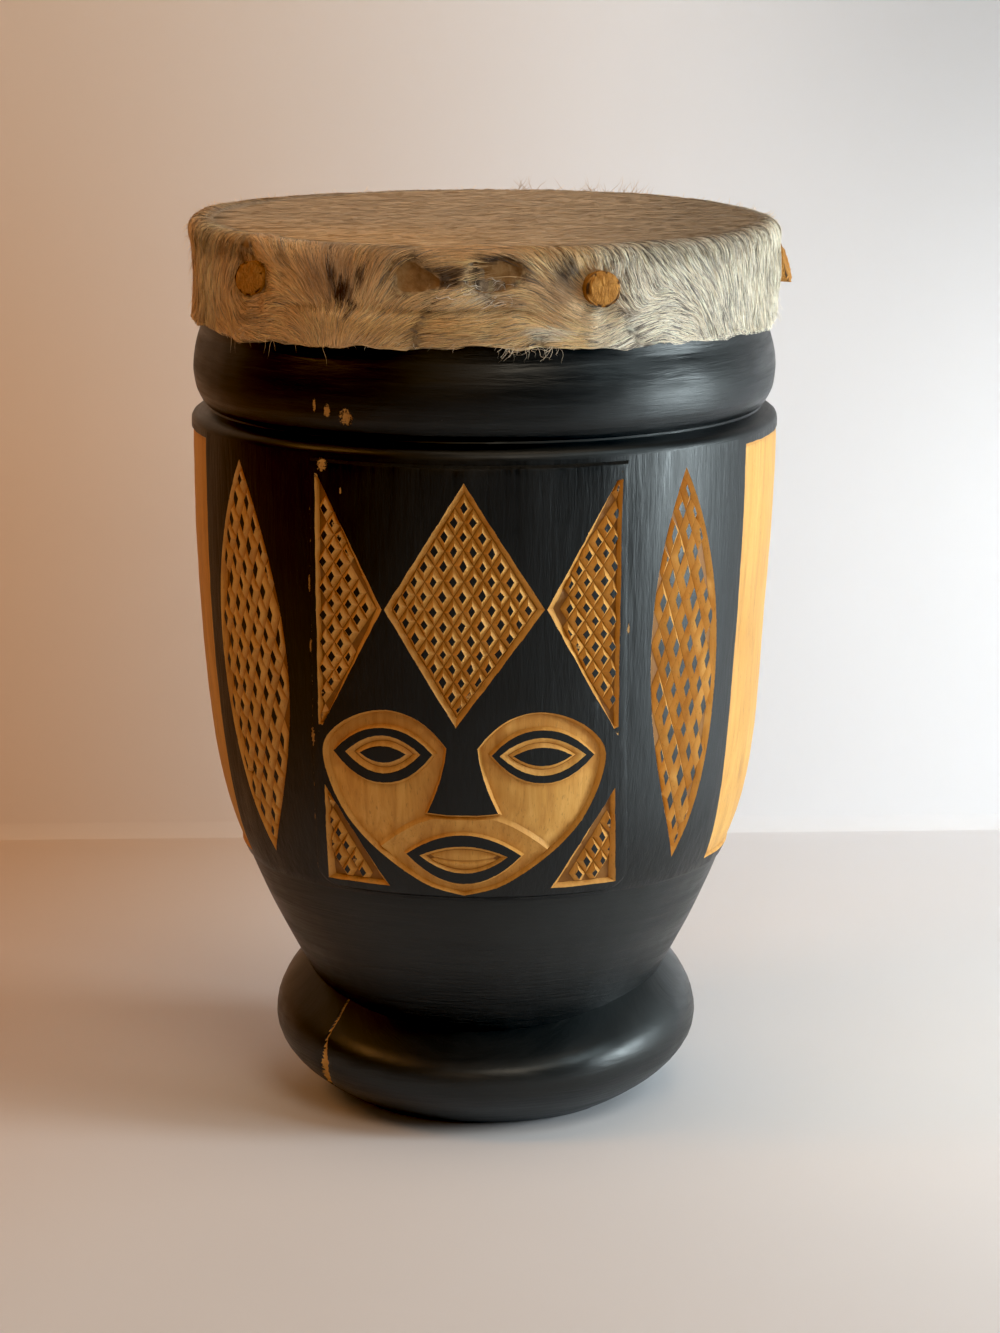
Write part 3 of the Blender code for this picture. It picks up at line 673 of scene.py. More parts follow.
def draw_face(drawing, on_panel, up):
    def place(p):
        return on_panel((p[0] - 2.0, p[1]))

    half = curve([(6.0, 168.6), (10.6, 174.2), (17.0, 179.4), (24.5, 182.3), (32.0, 182.7), (40.0, 180.6),
                  (47.6, 176.2), (53.0, 170.4), (55.0, 164.6),
                  (54.0, 157.0), (50.6, 147.4), (45.6, 138.0), (39.0, 130.0), (31.4, 123.0), (22.4, 116.2),
                  (12.6, 110.4), (0.0, 107.0)], 3)
    nose_r = [(13.7, 142.2), (11.2, 148.0), (8.4, 156.0), (6.7, 163.0)]
    outline = half[:-1] + [(-x, z) for x, z in half[::-1]] + [(-x, z) for x, z in nose_r[::-1]]
    outline += [(-6.0, 141.4), (6.0, 141.4)] + nose_r
    outline = counter(tidy(outline, 0.3))
    floor_edge = inset(outline, 1.15)
    drawing.take(inset(outline, -0.6), place)
    drawing.brink(wander(outline, 0.07, 3.4), up, place)
    holes = []

    def floor(p):
        x, z = abs(p[0]), p[1]
        d = up - 2.3
        d += 1.15 * math.exp(-((x - 33) ** 2 / 210.0 + (z - 146.5) ** 2 / 110.0))
        d += 0.85 * math.exp(-(x ** 2 / 620.0 + (z - 133.0) ** 2 / 40.0))
        d += 0.6 * math.exp(-(x ** 2 / 700.0 + (z - 110.5) ** 2 / 14.0))
        return d

    # The black ground of an eye or the mouth, from the cut round it to the ring inside it
    def ground(outer, ring):
        skirt = inset(outer, -1.05)
        holes.append(skirt)
        drawing.line(skirt, lambda p: floor(p) - 0.15, place, low=0.7)
        drawing.line(wander(outer, 0.06, 3.0), up, place, worn=1.0)
        drawing.line(inset(outer, 0.5), up, place)
        drawing.line(inset(ring, -0.5), up, place)
        drawing.line(ring, up, place, worn=1.0)

    drawing.line(floor_edge, lambda p: floor(p) - 0.25, place, low=0.8)
    for s in (-1, 1):
        big = 1.0 if s < 0 else 1.11
        eye = almond(s * 31.0, 165.2, 19.6, 10.4, 11.8 - 0.8 * (s > 0), 12, -s * 0.7, 2.2)
        ring = almond(s * 31.0, 165.2, 14.9 * big, 7.3, 8.0, 10, -s * 0.5)
        mid = almond(s * 31.0, 165.2, 11.8 * big, 5.2, 5.7, 10, -s * 0.4)
        pupil = almond(s * 31.0, 165.2, 9.2 * big * big, 3.1 * big, 3.7 * big, 8, -s * 0.3)
        ground(eye, ring)
        drawing.line(mid, up - 1.5, place, low=1.0, shake=0.08)
        drawing.line(pupil, up - 0.05, place, worn=1.0)
        drawing.line(inset(pupil, 0.5), up - 0.05, place)
        ridge = curve([(s * 12.6, 139.3), (s * 19.0, 136.6), (s * 26.6, 131.6), (s * 32.6, 126.6)], 3)
        drawing.line(ridge, up - 0.75, place, closed=False)
        drawing.line([(x + s * 1.5, z + 1.3) for x, z in ridge], up - 2.1, place, closed=False, low=0.85)
    bridge = [(-10.5, 139.6), (-4.0, 139.2), (4.0, 139.2), (10.5, 139.6)]
    drawing.line(bridge, up - 0.9, place, closed=False)
    mouth = almond(0.0, 124.4, 22.4, 8.8, 12.2, 14, 0.0, 2.0)
    lips = almond(0.0, 124.0, 17.2, 4.4, 7.1, 10)
    ground(mouth, lips)
    drawing.line(inset(lips, 1.3), up - 1.5, place, low=1.0, shake=0.06)
    seam = [(-11.5, 123.2), (-6.0, 122.2), (0.0, 121.9), (6.0, 122.2), (11.5, 123.2)]
    drawing.line([(x, z + 0.9) for x, z in seam], up - 0.75, place, closed=False)
    drawing.line(seam, up - 1.35, place, closed=False, low=1.0)
    drawing.line([(x, z - 1.1) for x, z in seam], up - 0.6, place, closed=False)
    pts = []
    zz = 108.0
    while zz < 184.0:
        x = -56.0
        while x < 57.0:
            pts.append((x + hand.uniform(-1.8, 1.8), zz + hand.uniform(-1.4, 1.4)))
            x += 6.2
        zz += 5.2
    arr = np.array(pts)
    keep = holds(floor_edge, arr) & (gap_to(floor_edge, arr) > 0.9)
    for h in holes:
        keep &= ~holds(h, arr) & (gap_to(h, arr) > 0.9)
    for s in (-1, 1):
        crest = [(s * 12.6, 139.3), (s * 26.6, 131.6), (s * 32.6, 126.6)]
        keep &= gap_to(crest + crest[1:2], arr) > 2.4
    keep &= gap_to(bridge + bridge[1:2], arr) > 1.2
    drawing.dots([tuple(p) for p in arr[keep]], floor, place, shake=0.30)


# The panel's left edge has rubbed through in dashes, the right one less, the top and bottom are still black
def edge_wear(p):
    if p[1] > 262.0 or abs(p[0]) < PANEL_HALF - 1.0:
        return 0.0
    return 0.92 if p[0] < 0 else 0.62


def draw_panel(drawing, deg, face):
    place = panel_place(deg)
    up = PANEL_RAISE
    drawing.line(wander(panel_outline(1.0), 0.06, 4.0), 0.0, place)
    drawing.line(wander(panel_outline(0.0), 0.10, 4.0), up - 0.15, place, worn=edge_wear)
    drawing.line(wander(panel_outline(-0.7), 0.0, 4.0), up, place)
    diamond = [(-0.8, 272.7), (-31.8, 222.6), (-4.3, 177.0), (29.9, 223.4)]
    slope, back = unit(32.2, 48.6), unit(29.2, -47.6)
    pitch = 2 * 31.0 * 49.5 / math.hypot(31.0, 49.5) / 8.6
    if not face:
        drawing.take(inset(counter(diamond), -0.6), place)
        drawing.brink(wander(counter(diamond), 0.08, 4.0), up, place)
        drawing.line(wander(inset(diamond, 1.7), 0.08, 4.0), up - GROOVE, place, low=1.0)
        drawing.line([(0.0, z) for z in (258.5, 248.0, 238.0, 223.0, 208.0, 198.0, 190.5)], up - 0.4,
                     place, closed=False)
        return
    drawing.lattice(diamond, place, up, (-0.8, 268.4), slope, back, pitch, pitch, edge=2.1)
    for s, tri in ((-1, [(-59.0, 275.4), (-32.7, 222.6), (-58.6, 171.1)]),
                   (1, [(59.0, 275.8), (30.8, 223.3), (57.8, 171.1)])):
        drawing.lattice(tri, place, up, (s * 36.0, 223.0), slope, back, pitch * 0.92, pitch * 0.92, edge=2.5)
        low_tri = [(s * 56.5, 150.0), (s * 56.5, 109.6), (s * 31.5, 109.6)]
        drawing.lattice(low_tri, place, up, (s * 51.5, 114.6), unit(1, 1.7), unit(1, -1.7), pitch * 0.86,
                        pitch * 0.86, edge=1.8)
    draw_face(drawing, place, up)


LENS_WIDE, LENS_MID, LENS_HALF = 20.2, 194.5, 79.5


def lens_outline(wide=LENS_WIDE, lean=0.0, bow=0.0, skew=0.0):
    def edge(side, v):
        across = side * wide * (1 - abs(v) ** 2.1) * (1 - side * skew * v) + bow * (1 - v * v) - lean * v
        return across, LENS_MID + LENS_HALF * v

    n = 26
    t = [-1 + 2 * i / n for i in range(n)]
    return [edge(1, v) for v in t] + [edge(-1, -v) for v in t]


def strip_outline(h):
    side = curve([(h, 172.0), (h, 146.0), (0.985 * h, 126.0), (0.95 * h, 108.6)], 4)
    side += [(0.5 * h, 108.2), (0.0, 108.2)]
    return [(h, 278.4)] + side + [(-x, z) for x, z in side[:-1][::-1]] + [(-h, 278.4)]


def strip_depth(p):
    x = abs(p[0])
    return -0.35 - 1.0 * x / 30 if x < 30 else -1.35 + 0.1 * (x - 30) / 20


def draw_barrel():
    drawing = Drawing()
    draw_panel(drawing, 0.0, True)
    draw_panel(drawing, -180.0, False)
    left_leaf, right_leaf = lens_outline(22.0, 0.0, 2.4, 0.14), lens_outline(18.9, 4.8)
    drawing.lattice(left_leaf, band_place(-50.5), 0.0, (0.0, 258.0), unit(1, 2.5), unit(1, -2.2), 6.9, 6.3,
                    fill=0.42)
    drawing.lattice(right_leaf, band_place(47.0), 0.0, (-2.5, 258.0), unit(1, 2.3), unit(1, -2.3), 7.2,
                    7.2, fill=0.44)
    for deg in (-131.0, -229.0):
        place = band_place(deg)
        leaf = counter(lens_outline())
        drawing.take(inset(leaf, -0.6), place)
        drawing.brink(wander(leaf, 0.08, 3.0), 0.0, place)
        drawing.line(inset(leaf, 1.6), -1.8, place, low=1.0)
        drawing.line([(0.0, 262.0 - 8 * i) for i in range(18)], -0.5, place, closed=False, shake=0.08)
        for s in (-1, 1):
            for i in range(15):
                zz = 254.0 - 8.2 * i
                w = LENS_WIDE * (1 - abs((zz - LENS_MID) / LENS_HALF) ** 2.1) * 0.5
                if w > 3:
                    drawing.dots([(s * w, zz)], -1.15, place, shake=0.2)
    k = MIDDLE_R * math.pi / 180.0
    for deg in (-90.0, 90.0):
        place = band_place(deg)
        outline = counter(strip_outline((26.5 if deg > 0 else 24.6) * k))
        drawing.take(outline, place)
        drawing.brink(wander(outline, 0.10, 5.0), 0.0, place)
        drawing.line(wander(inset(outline, 1.2), 0.05, 5.0), lambda p: strip_depth(p) - 0.1, place, low=0.9)
        drawing.line([(0.0, 274 - 7 * i) for i in range(22)], -0.3, place, closed=False, shake=0.05)
        inner = inset(outline, 1.2)
        pts = []
        for a in range(-11, 12):
            for b in range(26):
                pts.append((a * 4.6 + hand.uniform(-0.8, 0.8), 112.0 + b * 6.5 + hand.uniform(-1.5, 1.5)))
        arr = np.array(pts)
        keep = holds(inner, arr) & (gap_to(inner, arr) > 1.2) & (np.abs(arr[:, 0]) > 1.5)
        drawing.dots([tuple(p) for p in arr[keep]], strip_depth, place, shake=0.07)
    return drawing


def in_box(grid, poly, margin=3.0):
    xs, zs = [p[0] for p in poly], [p[1] for p in poly]
    return ((grid[..., 0] > min(xs) - margin) & (grid[..., 0] < max(xs) + margin)
            & (grid[..., 1] > min(zs) - margin) & (grid[..., 1] < max(zs) + margin))


# Fills the ground between the cuts with a regular grid, then joins all points and lines into one flat net
def barrel_net():
    drawing = draw_barrel()
    rows = np.linspace(BARREL_LOW, BARREL_TOP, 58)
    u = np.arange(STEPS + 1) * (360.0 * PER_DEG / STEPS)
    grid = np.stack(np.meshgrid(u, rows, indexing="xy"), -1)
    free = np.ones(grid.shape[:2], bool)
    for poly in drawing.taken:
        box = in_box(grid, poly)
        sel = grid[box]
        free[box] &= ~(holds(poly, sel) | (gap_to(poly, sel) < 0.9))
    raised = np.zeros(grid.shape[:2], bool)
    for deg in (0.0, -180.0):
        place = panel_place(deg)
        for g in (-0.7, 0.0, 1.0):
            edge = [place(p) for p in wander(panel_outline(g), 0.0, 4.0)]
            box = in_box(grid, edge)
            sel = grid[box]
            free[box] &= gap_to(edge, sel) > 0.7
            if g == 0.0:
                raised[box] |= holds(edge, sel)
    free[0], free[-1], free[:, 0], free[:, -1] = True, True, True, True
    where = {}
    for j in range(len(rows)):
        for i in range(STEPS + 1):
            if free[j, i]:
                up = PANEL_RAISE if raised[j, i] and 0 < j < len(rows) - 1 else 0.0
                where[j, i] = drawing.dots([(float(u[i]), float(rows[j]))], up, lambda p: p)[0]
    for j in (0, len(rows) - 1):
        drawing.lines += [(where[j, i], where[j, i + 1]) for i in range(STEPS)]
    for i in (0, STEPS):
        drawing.lines += [(where[j, i], where[j + 1, i]) for j in range(len(rows) - 1)]
    spots = [Vector(p) for p in drawing.pts]
    verts, edges, faces, ov, oe, _ = delaunay_2d_cdt(spots, drawing.lines, [], 0, 0.015, True)
    beside = {}
    for e, src in zip(edges, oe):
        for v in e:
            beside.setdefault(v, set()).update(src)
    facts = []
    for i, src in enumerate(ov):
        near = [drawing.lines[n][0] for n in beside.get(i, ()) if n < len(drawing.lines)]
        if src or near:
            best = min(src or near, key=lambda s: drawing.depth[s])
            facts.append((drawing.depth[best], drawing.worn[best], drawing.low[best]))
        else:
            facts.append((0.0, 0.0, 0.0))
    return verts, faces, facts


def wrap_barrel(bm):
    worn, low = bm.verts.layers.float.new("worn"), bm.verts.layers.float.new("low")
    verts, faces, facts = barrel_net()
    panels = []
    for deg in (0.0, -180.0):
        place = panel_place(deg)
        panels.append([place(p) for p in wander(panel_outline(0.5), 0.0, 4.0)])
    pts = np.array([(v.x, v.y) for v in verts])
    on_panel = holds(panels[0], pts) | holds(panels[1], pts)
    known, ids, tops = {}, [], []
    for n, (p, (d, wn, lw)) in enumerate(zip(verts, facts)):
        level = PANEL_RAISE if on_panel[n] else 0.0
        tops.append(d > level - 0.3 or (d >= -0.01 and not on_panel[n]))
        key = (round(p.x if p.x < 360.0 * PER_DEG - 0.01 else 0.0, 3), round(p.y, 3))
        if key not in known:
            a = math.radians(key[0] / PER_DEG + SEAM)
            r = float(barrel_r(p.y)) + d + unevenness(a, p.y)
            v = bm.verts.new((r * math.sin(a) * MM, -r * math.cos(a) * MM, p.y * MM))
            v[worn], v[low] = wn, lw
            known[key] = v
        ids.append(known[key])
    for f in faces:
        tri = [ids[i] for i in f]
        if len(set(tri)) < 3:
            continue
        face = bm.faces.new(tri)
        painted = all(tops[i] for i in f)
        face.material_index = UPRIGHT if painted else CUT
        face.smooth = painted


# The turned parts of the log, each a profile of (radius, height) spun round from the seam
def turned(bm, profile):
    a = math.radians(SEAM)
    spin(bm, [bm.verts.new((r * math.sin(a) * MM, -r * math.cos(a) * MM, z * MM)) for r, z in profile], STEPS)


# The crease's rise dies out at CREASE_REACH, and what lies within THROAT_R belongs to the throat
CREASE_REACH, THROAT_R = 78.0, 43.5
# Numbers of the log's materials
ROUND, UPRIGHT, CUT, HOLLOW = 0, 1, 2, 3


def build_shell():
    bm = bmesh.new()
    wrap_barrel(bm)
    wrapped = set(bm.verts)
    bulge, groove = BARREL_R - 0.9, BARREL_R - 6.4
    head = [(BARREL_R, BARREL_TOP), (BARREL_R - 0.1, BARREL_TOP + 1.2), (BARREL_R - 0.7, BARREL_TOP + 2.4),
            (BARREL_R - 2.2, BARREL_TOP + 3.6), (groove + 1.6, BARREL_TOP + 4.6),
            (groove + 0.2, BARREL_TOP + 5.6), (groove, BARREL_TOP + 6.4), (groove + 0.9, BARREL_TOP + 7.2)]
    head += curve([(groove + 2.0, BARREL_TOP + 8.4), (bulge - 1.9, BARREL_TOP + 11.4),
                   (bulge - 0.75, BARREL_TOP + 14.6), (bulge, BARREL_TOP + 21.5),
                   (bulge - 0.8, BARREL_TOP + 29.0), (RIM_R, BARREL_TOP + 37.0)], 5)
    head += [(RIM_R, BARREL_TOP + 48.0), (RIM_R, RIM_TOP - 4.0), (RIM_R - 0.9, RIM_TOP - 1.2),
             (RIM_R - 4.0, RIM_TOP), (RIM_INNER_R + 2.0, RIM_TOP), (RIM_INNER_R, RIM_TOP - 2.0)]
    turned(bm, head)
    top = BARREL_LOW - 1.5
    low = [(BARREL_LOW_R, BARREL_LOW), (CUP_TOP_R + 0.5, BARREL_LOW - 0.5), (CUP_TOP_R, top)]
    low += [(cup_r(z), z) for z in np.linspace(top - 1.5, 72.5, 12)]
    low += [(cup_r(z), z) for z in np.linspace(70.0, CREASE_Z + 1.6, 5)]
    shares = (1.0, 0.975, 0.95, 0.91, 0.87, 0.82, 0.76, 0.70, 0.64, 0.58, 0.52, 0.46, 0.40, 0.34, 0.28,
              0.22, 0.165, 0.115, 0.07, 0.035, 0.01)
    foot = [(foot_r(CREASE_Z * t) - (0.9 if t > 0.99 else 0.0), CREASE_Z * t) for t in shares]
    foot += [(BASE_R - 0.6, 0.0), (41.5, 0.0), (40.0, 1.5)]
    turned(bm, low + foot)
    hollow = [(40.0, 1.5), (41.0, 30.0), (42.0, 60.0), (52.0, 73.0), (61.0, 84.0), (71.0, 97.0),
              (79.0, 110.0), (86.0, 128.0), (91.0, 150.0), (94.5, 180.0), (97.5, 215.0), (99.5, 255.0),
              (RIM_INNER_R, 291.75), (RIM_INNER_R, RIM_TOP - 2.0)]
    turned(bm, hollow)
    for v in bm.verts:
        if v in wrapped:
            continue
        x, y, z = v.co.x / MM, v.co.y / MM, v.co.z / MM
        a = math.atan2(x, -y)
        r = math.hypot(x, y)
        in_bowl = r < RIM_INNER_R + 1.0 and z > 70.0 and r < cup_r(min(z, 103.0)) - 6
        outside = r > THROAT_R and not in_bowl
        if z < CREASE_REACH and outside:
            c = crease_z(a)
            if z <= CREASE_Z:
                nz = z * c / CREASE_Z
                pull = max(0.0, (z / CREASE_Z - 0.75) / 0.25)
                r -= pull * (CREASE_R - cup_r(c))
            else:
                nz = c + (z - CREASE_Z) * (CREASE_REACH - c) / (CREASE_REACH - CREASE_Z)
                r = cup_r(nz)
            z = nz
        if outside and 0.5 < z < RIM_TOP - 12:
            r += unevenness(a, z) * (1.0 if z > 60 else 1.3)
        v.co = Vector((r * math.sin(a) * MM, -r * math.cos(a) * MM, z * MM))
        if not outside:
            for f in v.link_faces:
                f.material_index = HOLLOW
    bmesh.ops.remove_doubles(bm, verts=bm.verts, dist=0.00002)
    cut_crack(bm)
    bmesh.ops.recalc_face_normals(bm, faces=bm.faces)
    for f in bm.faces:
        if f.material_index == ROUND:
            f.smooth = True
    return bm


# Drying crack down the left of the foot: angle in degrees and height in millimetres
CRACK = [(-48.3, 48.3), (-46.2, 42.6), (-45.7, 39.2), (-45.5, 35.6), (-45.0, 31.8), (-45.1, 26.8),
         (-47.3, 20.5), (-51.5, 15.2), (-53.0, 9.0), (-53.5, 3.0), (-53.5, -2.0)]
CRACK_HALF = [0.40, 0.62, 0.65, 0.70, 0.95, 1.9, 2.1, 2.0, 1.6, 1.8, 2.0]


def cut_crack(bm):
    unrolled_r = 82.0
    path = [(math.radians(deg) * unrolled_r, z) for deg, z in CRACK]

    def on_foot(v):
        return v.co.z < 0.056 and v.co.y < 0 and math.hypot(v.co.x, v.co.y) > 0.045

    def gap(v):
        p = (math.atan2(v.co.x, -v.co.y) * unrolled_r, v.co.z / MM)
        best, half = 1e9, 1.0
        for q0, q1, h0, h1 in zip(path, path[1:], CRACK_HALF, CRACK_HALF[1:]):
            dx, dz = q1[0] - q0[0], q1[1] - q0[1]
            t = clamp(((p[0] - q0[0]) * dx + (p[1] - q0[1]) * dz) / (dx * dx + dz * dz))
            d = math.hypot(p[0] - q0[0] - t * dx, p[1] - q0[1] - t * dz)
            if d < best:
                best, half = d, h0 + t * (h1 - h0)
        return best, half

    for reach in (4.0, 2.6, 1.9):
        chosen = {v for v in bm.verts if on_foot(v) and gap(v)[0] < reach}
        edges = [e for e in bm.edges if e.verts[0] in chosen and e.verts[1] in chosen
                 and e.calc_length() > 0.0004]
        if edges:
            bmesh.ops.subdivide_edges(bm, edges=edges, cuts=1, use_grid_fill=True)
    for v in bm.verts:
        if on_foot(v):
            d, half = gap(v)
            if d < half and v.co.z > 0.0002:
                deep = 2.4 * (1 - d / half) ** 0.6
                away = Vector((v.co.x, v.co.y, 0)).normalized()
                v.co -= away * deep * MM
    for f in bm.faces:
        c = f.calc_center_median()
        if c.z < 0.056 and c.y < 0 and f.material_index == ROUND:
            if all(gap(v)[0] < gap(v)[1] * 1.08 for v in f.verts):
                f.material_index = CUT
                f.smooth = False


def to_object(bm, name, materials, smooth_angle=None):
    me = bpy.data.meshes.new(name)
    bm.to_mesh(me)
    bm.free()
    for m in materials:
        me.materials.append(m)
    ob = add_to_scene(name, me)
    if smooth_angle:
        me.set_sharp_from_angle(angle=math.radians(smooth_angle))
    return ob


def set_bake_map(me, uv):
    layer = me.uv_layers.new(name="OFBake")
    layer.data.foreach_set("uv", np.clip(uv, 0.0, 1.0).astype(np.float32).ravel())


# Unrolls a round piece: across by the turn, up by the way along its profile of (radius, height)
def unroll(me, profile, low=0.0, high=1.0):
    flat = vertex_places(me)
    rz = np.stack([np.hypot(flat[:, 0], flat[:, 1]), flat[:, 2]], -1)
    turn = np.arctan2(flat[:, 0], -flat[:, 1]) / math.tau
    line = np.array(profile, float)
    steps = np.linalg.norm(np.diff(line, axis=0), axis=1)
    done = np.concatenate([[0], np.cumsum(steps)])
    best, way = np.full(len(rz), 1e9), np.zeros(len(rz))
    for i, (a, b) in enumerate(zip(line, line[1:])):
        ab = b - a
        t = np.clip(((rz - a) @ ab) / (ab @ ab), 0, 1)
        d = np.linalg.norm(rz - a - t[:, None] * ab, axis=1)
        hit = d < best
        best[hit], way[hit] = d[hit], (done[i] + t * steps[i])[hit]
    corner = loop_corners(me)
    first = np.zeros(len(me.polygons), int)
    count = np.zeros(len(me.polygons), int)
    me.polygons.foreach_get("loop_start", first)
    me.polygons.foreach_get("loop_total", count)
    lead = np.repeat(turn[corner[first]], count)
    u = turn[corner]
    u = lead + (u - lead + 0.5) % 1.0 - 0.5
    up = low + (high - low) * (0.005 + 0.99 * way[corner] / done[-1])
    return np.stack([0.01 + 0.98 * (u + 0.5), up], -1), flat[corner], first, count


# The log's rough profile up its outside and down its hollow, for the bake map
LOG_PROFILE = [(40, 0), (55, 0), (72, 10), (83, 22), (86.5, 33), (83, 46), (74.5, 57), (97, 103), (99, 105),
               (109, 125), (117, 200), (118, 281), (112, 287), (117, 300), (116, 315), (114.2, 320),
               (114.2, 358.7), (101, 358.7), (99.5, 255), (94.5, 180), (86, 128), (71, 97), (52, 73),
               (42, 60), (40, 1.5), (40, 0.2)]

log = to_object(build_shell(), "carved_log", [PAINT_ROUND, PAINT_UPRIGHT, CUT_WOOD, INNER_WOOD], 38)
set_bake_map(log.data, unroll(log.data, LOG_PROFILE)[0])
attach(log, "root")
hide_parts("shell")


# The hide: skin bent over the rim, pressed in round the pegs and left ragged at the hem
SKIN_R, SKIN_TOP, BEND = HIDE_R - 1.3, HIDE_TOP - 0.9, 8.0
EDGE_Z = SKIN_TOP - BEND
PEG_DEGS = [PEG_FIRST + 72.0 * i for i in range(5)]
# Bare places: degrees, height, half width and half height in millimetres
BALD = [(-10.0, 350.0, 7.9, 6.2), (5.2, 351.2, 10.4, 5.8), (-49.0, 358.4, 3.6, 1.2),
        (68.0, 352.0, 2.0, 1.6), (150.0, 349.0, 7.0, 3.6), (-124.0, 343.0, 5.0, 3.0)]


def turn_mm(deg, centre):
    return ((deg - centre + 180.0) % 360.0 - 180.0) * math.pi / 180.0 * SKIN_R


# Smooth wandering value from a few crossed waves, for lists of places
class Drift:
    def __init__(self, low, high, count=9):
        ang = strew.uniform(0, math.tau, count)
        k = math.tau / strew.uniform(low, high, count)
        self.ks, self.kz = np.round(k * np.cos(ang) * SKIN_R) / SKIN_R, k * np.sin(ang)
        self.ph = strew.uniform(0, math.tau, count)

    def __call__(self, deg, z):
        s = np.radians(deg) * SKIN_R
        return np.sin(s[..., None] * self.ks + z[..., None] * self.kz + self.ph).mean(-1) * 2.2


FOLDS, LOCKS, TUFTS, SHADES = Drift(26, 60), Drift(3.2, 8.0, 14), Drift(7, 16, 12), Drift(10, 34, 12)


def bare_place(deg, z):
    m = np.zeros(np.broadcast(deg, z).shape)
    wob = 0.35 * TUFTS(deg, z)
    for d, h, half, high in BALD:
        q = np.hypot(turn_mm(deg, d) / half, (z - h) / high) + wob
        m = np.maximum(m, 1 - ease(0.8, 1.15, q))
    return m


def near_peg(deg, z):
    return np.min([np.hypot(turn_mm(deg, d), z - PEG_Z) for d in PEG_DEGS], axis=0)


# The rolled hem has a fold above it at the front
def fold_line(deg):
    return 337.6 - 0.02 * (deg + 12.0) ** 2 * 0.12 + 0.8 * np.sin(np.radians(deg) * 9.0)


def skin_relief(deg, z):
    h = 0.75 * FOLDS(deg, z) + 0.25 * TUFTS(deg, z)
    h = h - 1.5 * bare_place(deg, z)
    d = near_peg(deg, z)
    h = h - 1.6 * np.exp(-((d - 6.0) / 5.0) ** 2) + 0.9 * np.exp(-((d - 15.0) / 5.0) ** 2)
    for p in PEG_DEGS:
        x, y = turn_mm(deg, p), z - PEG_Z
        h = h + 0.5 * np.cos(np.arctan2(y, x) * 7.0 + p) * np.exp(-((np.hypot(x, y) - 11.0) / 5.0) ** 2)
    front = ease(-40.0, -32.0, deg) * (1 - ease(8.0, 16.0, deg))
    off = z - fold_line(deg)
    h = h + front * (1.3 * np.exp(-((off + 5.0) / 4.0) ** 2) - 1.7 * np.exp(-(off / 1.3) ** 2))
    h = h * (1 - 0.75 * ease(EDGE_Z, SKIN_TOP + 3.0, z))
    square = 0.35 + 0.65 * np.exp(-(turn_mm(deg, -95.0) / 90.0) ** 2)
    return h + 3.4 * square * np.exp(-((z - EDGE_Z - BEND * math.pi / 4) / 4.2) ** 2)


def hem_edge(deg):
    a = np.radians(deg)
    return hem_z(a) + 0.5 * np.sin(17 * a + 1.0) + 0.35 * np.sin(31 * a) + 0.25 * np.sin(53 * a + 2.0)


# A place on the unrolled hide, and how far above the skin, as a point in metres
def on_hide(deg, z, h):
    a = np.radians(deg)
    t = np.clip((z - EDGE_Z) / BEND, 0, math.pi / 2)
    over = np.maximum(0, z - EDGE_Z - BEND * math.pi / 2)
    r = SKIN_R - BEND + BEND * np.cos(t) - over + h * np.cos(t)
    up = np.minimum(z, EDGE_Z) + BEND * np.sin(t) + h * np.sin(t)
    return np.stack([r * np.sin(a), -r * np.cos(a), up], -1) * MM


# Each ring is first spun at a depth that counts the rings, then put in its place by its kind
def build_skin():
    bm = bmesh.new()
    inner = RIM_R + 0.6
    run = [(0.0, SKIN_TOP)] + [(r, SKIN_TOP) for r in (8, 20, 34, 48, 62, 75, 87, 97, 104, SKIN_R - BEND)]
    run += [(0.0, EDGE_Z + BEND * math.pi / 2 * (1 - i / 6)) for i in range(1, 7)]
    run += [(i / 26, 0.0) for i in range(1, 27)]
    run += [(0.5, -0.9), (1.4, -1.2), (2.3, -0.4)]
    run += [(inner, HEM_Z + 4.0), (inner, 340.0), (inner, SKIN_TOP - 3.2), (inner - 3.0, SKIN_TOP - 2.2),
            (60.0, SKIN_TOP - 2.2), (0.0, SKIN_TOP - 2.2)]
    kinds = ["top"] * 11 + ["side"] * 6 + ["wall"] * 26 + ["lip"] * 3 + ["in"] * 6
    spin(bm, [bm.verts.new((0.0, -0.1, -i * MM)) for i in range(len(run))], 400)
    bm.verts.ensure_lookup_table()
    bare = bm.verts.layers.float.new("bare")
    which = np.array([round(-v.co.z / MM) for v in bm.verts])
    deg = np.degrees(np.array([math.atan2(v.co.x, -v.co.y) for v in bm.verts]))
    hem = hem_edge(deg)
    for v, i, d, h in zip(bm.verts, which, deg, hem):
        kind = kinds[i]
        r, z = run[i]
        a = math.radians(d)
        one = np.array([d])
        if kind == "top":
            lift = 0.35 * noise.noise(Vector((r * math.sin(a), -r * math.cos(a), 0)) * 0.045)
            p = (r * math.sin(a), -r * math.cos(a), z + lift)
            v.co = Vector(p) * MM
        elif kind in ("side", "wall"):
            zz = z if kind == "side" else EDGE_Z + (h - EDGE_Z) * r
            zn = np.array([zz])
            rel = float(skin_relief(one, zn)[0])
            v[bare] = float(bare_place(one, zn)[0])
            v.co = Vector(on_hide(one, zn, np.array([rel]))[0])
        elif kind == "lip":
            rel = float(skin_relief(one, np.array([h]))[0])
            rr = SKIN_R + rel * (1 - r / 2.6) - r
            v.co = Vector((rr * math.sin(a), -rr * math.cos(a), h + z)) * MM
        else:
            v.co = Vector((r * math.sin(a), -r * math.cos(a), z)) * MM
    bmesh.ops.remove_doubles(bm, verts=bm.verts, dist=0.00001)
    bmesh.ops.recalc_face_normals(bm, faces=bm.faces)
    for f in bm.faces:
        f.smooth = True
    return bm


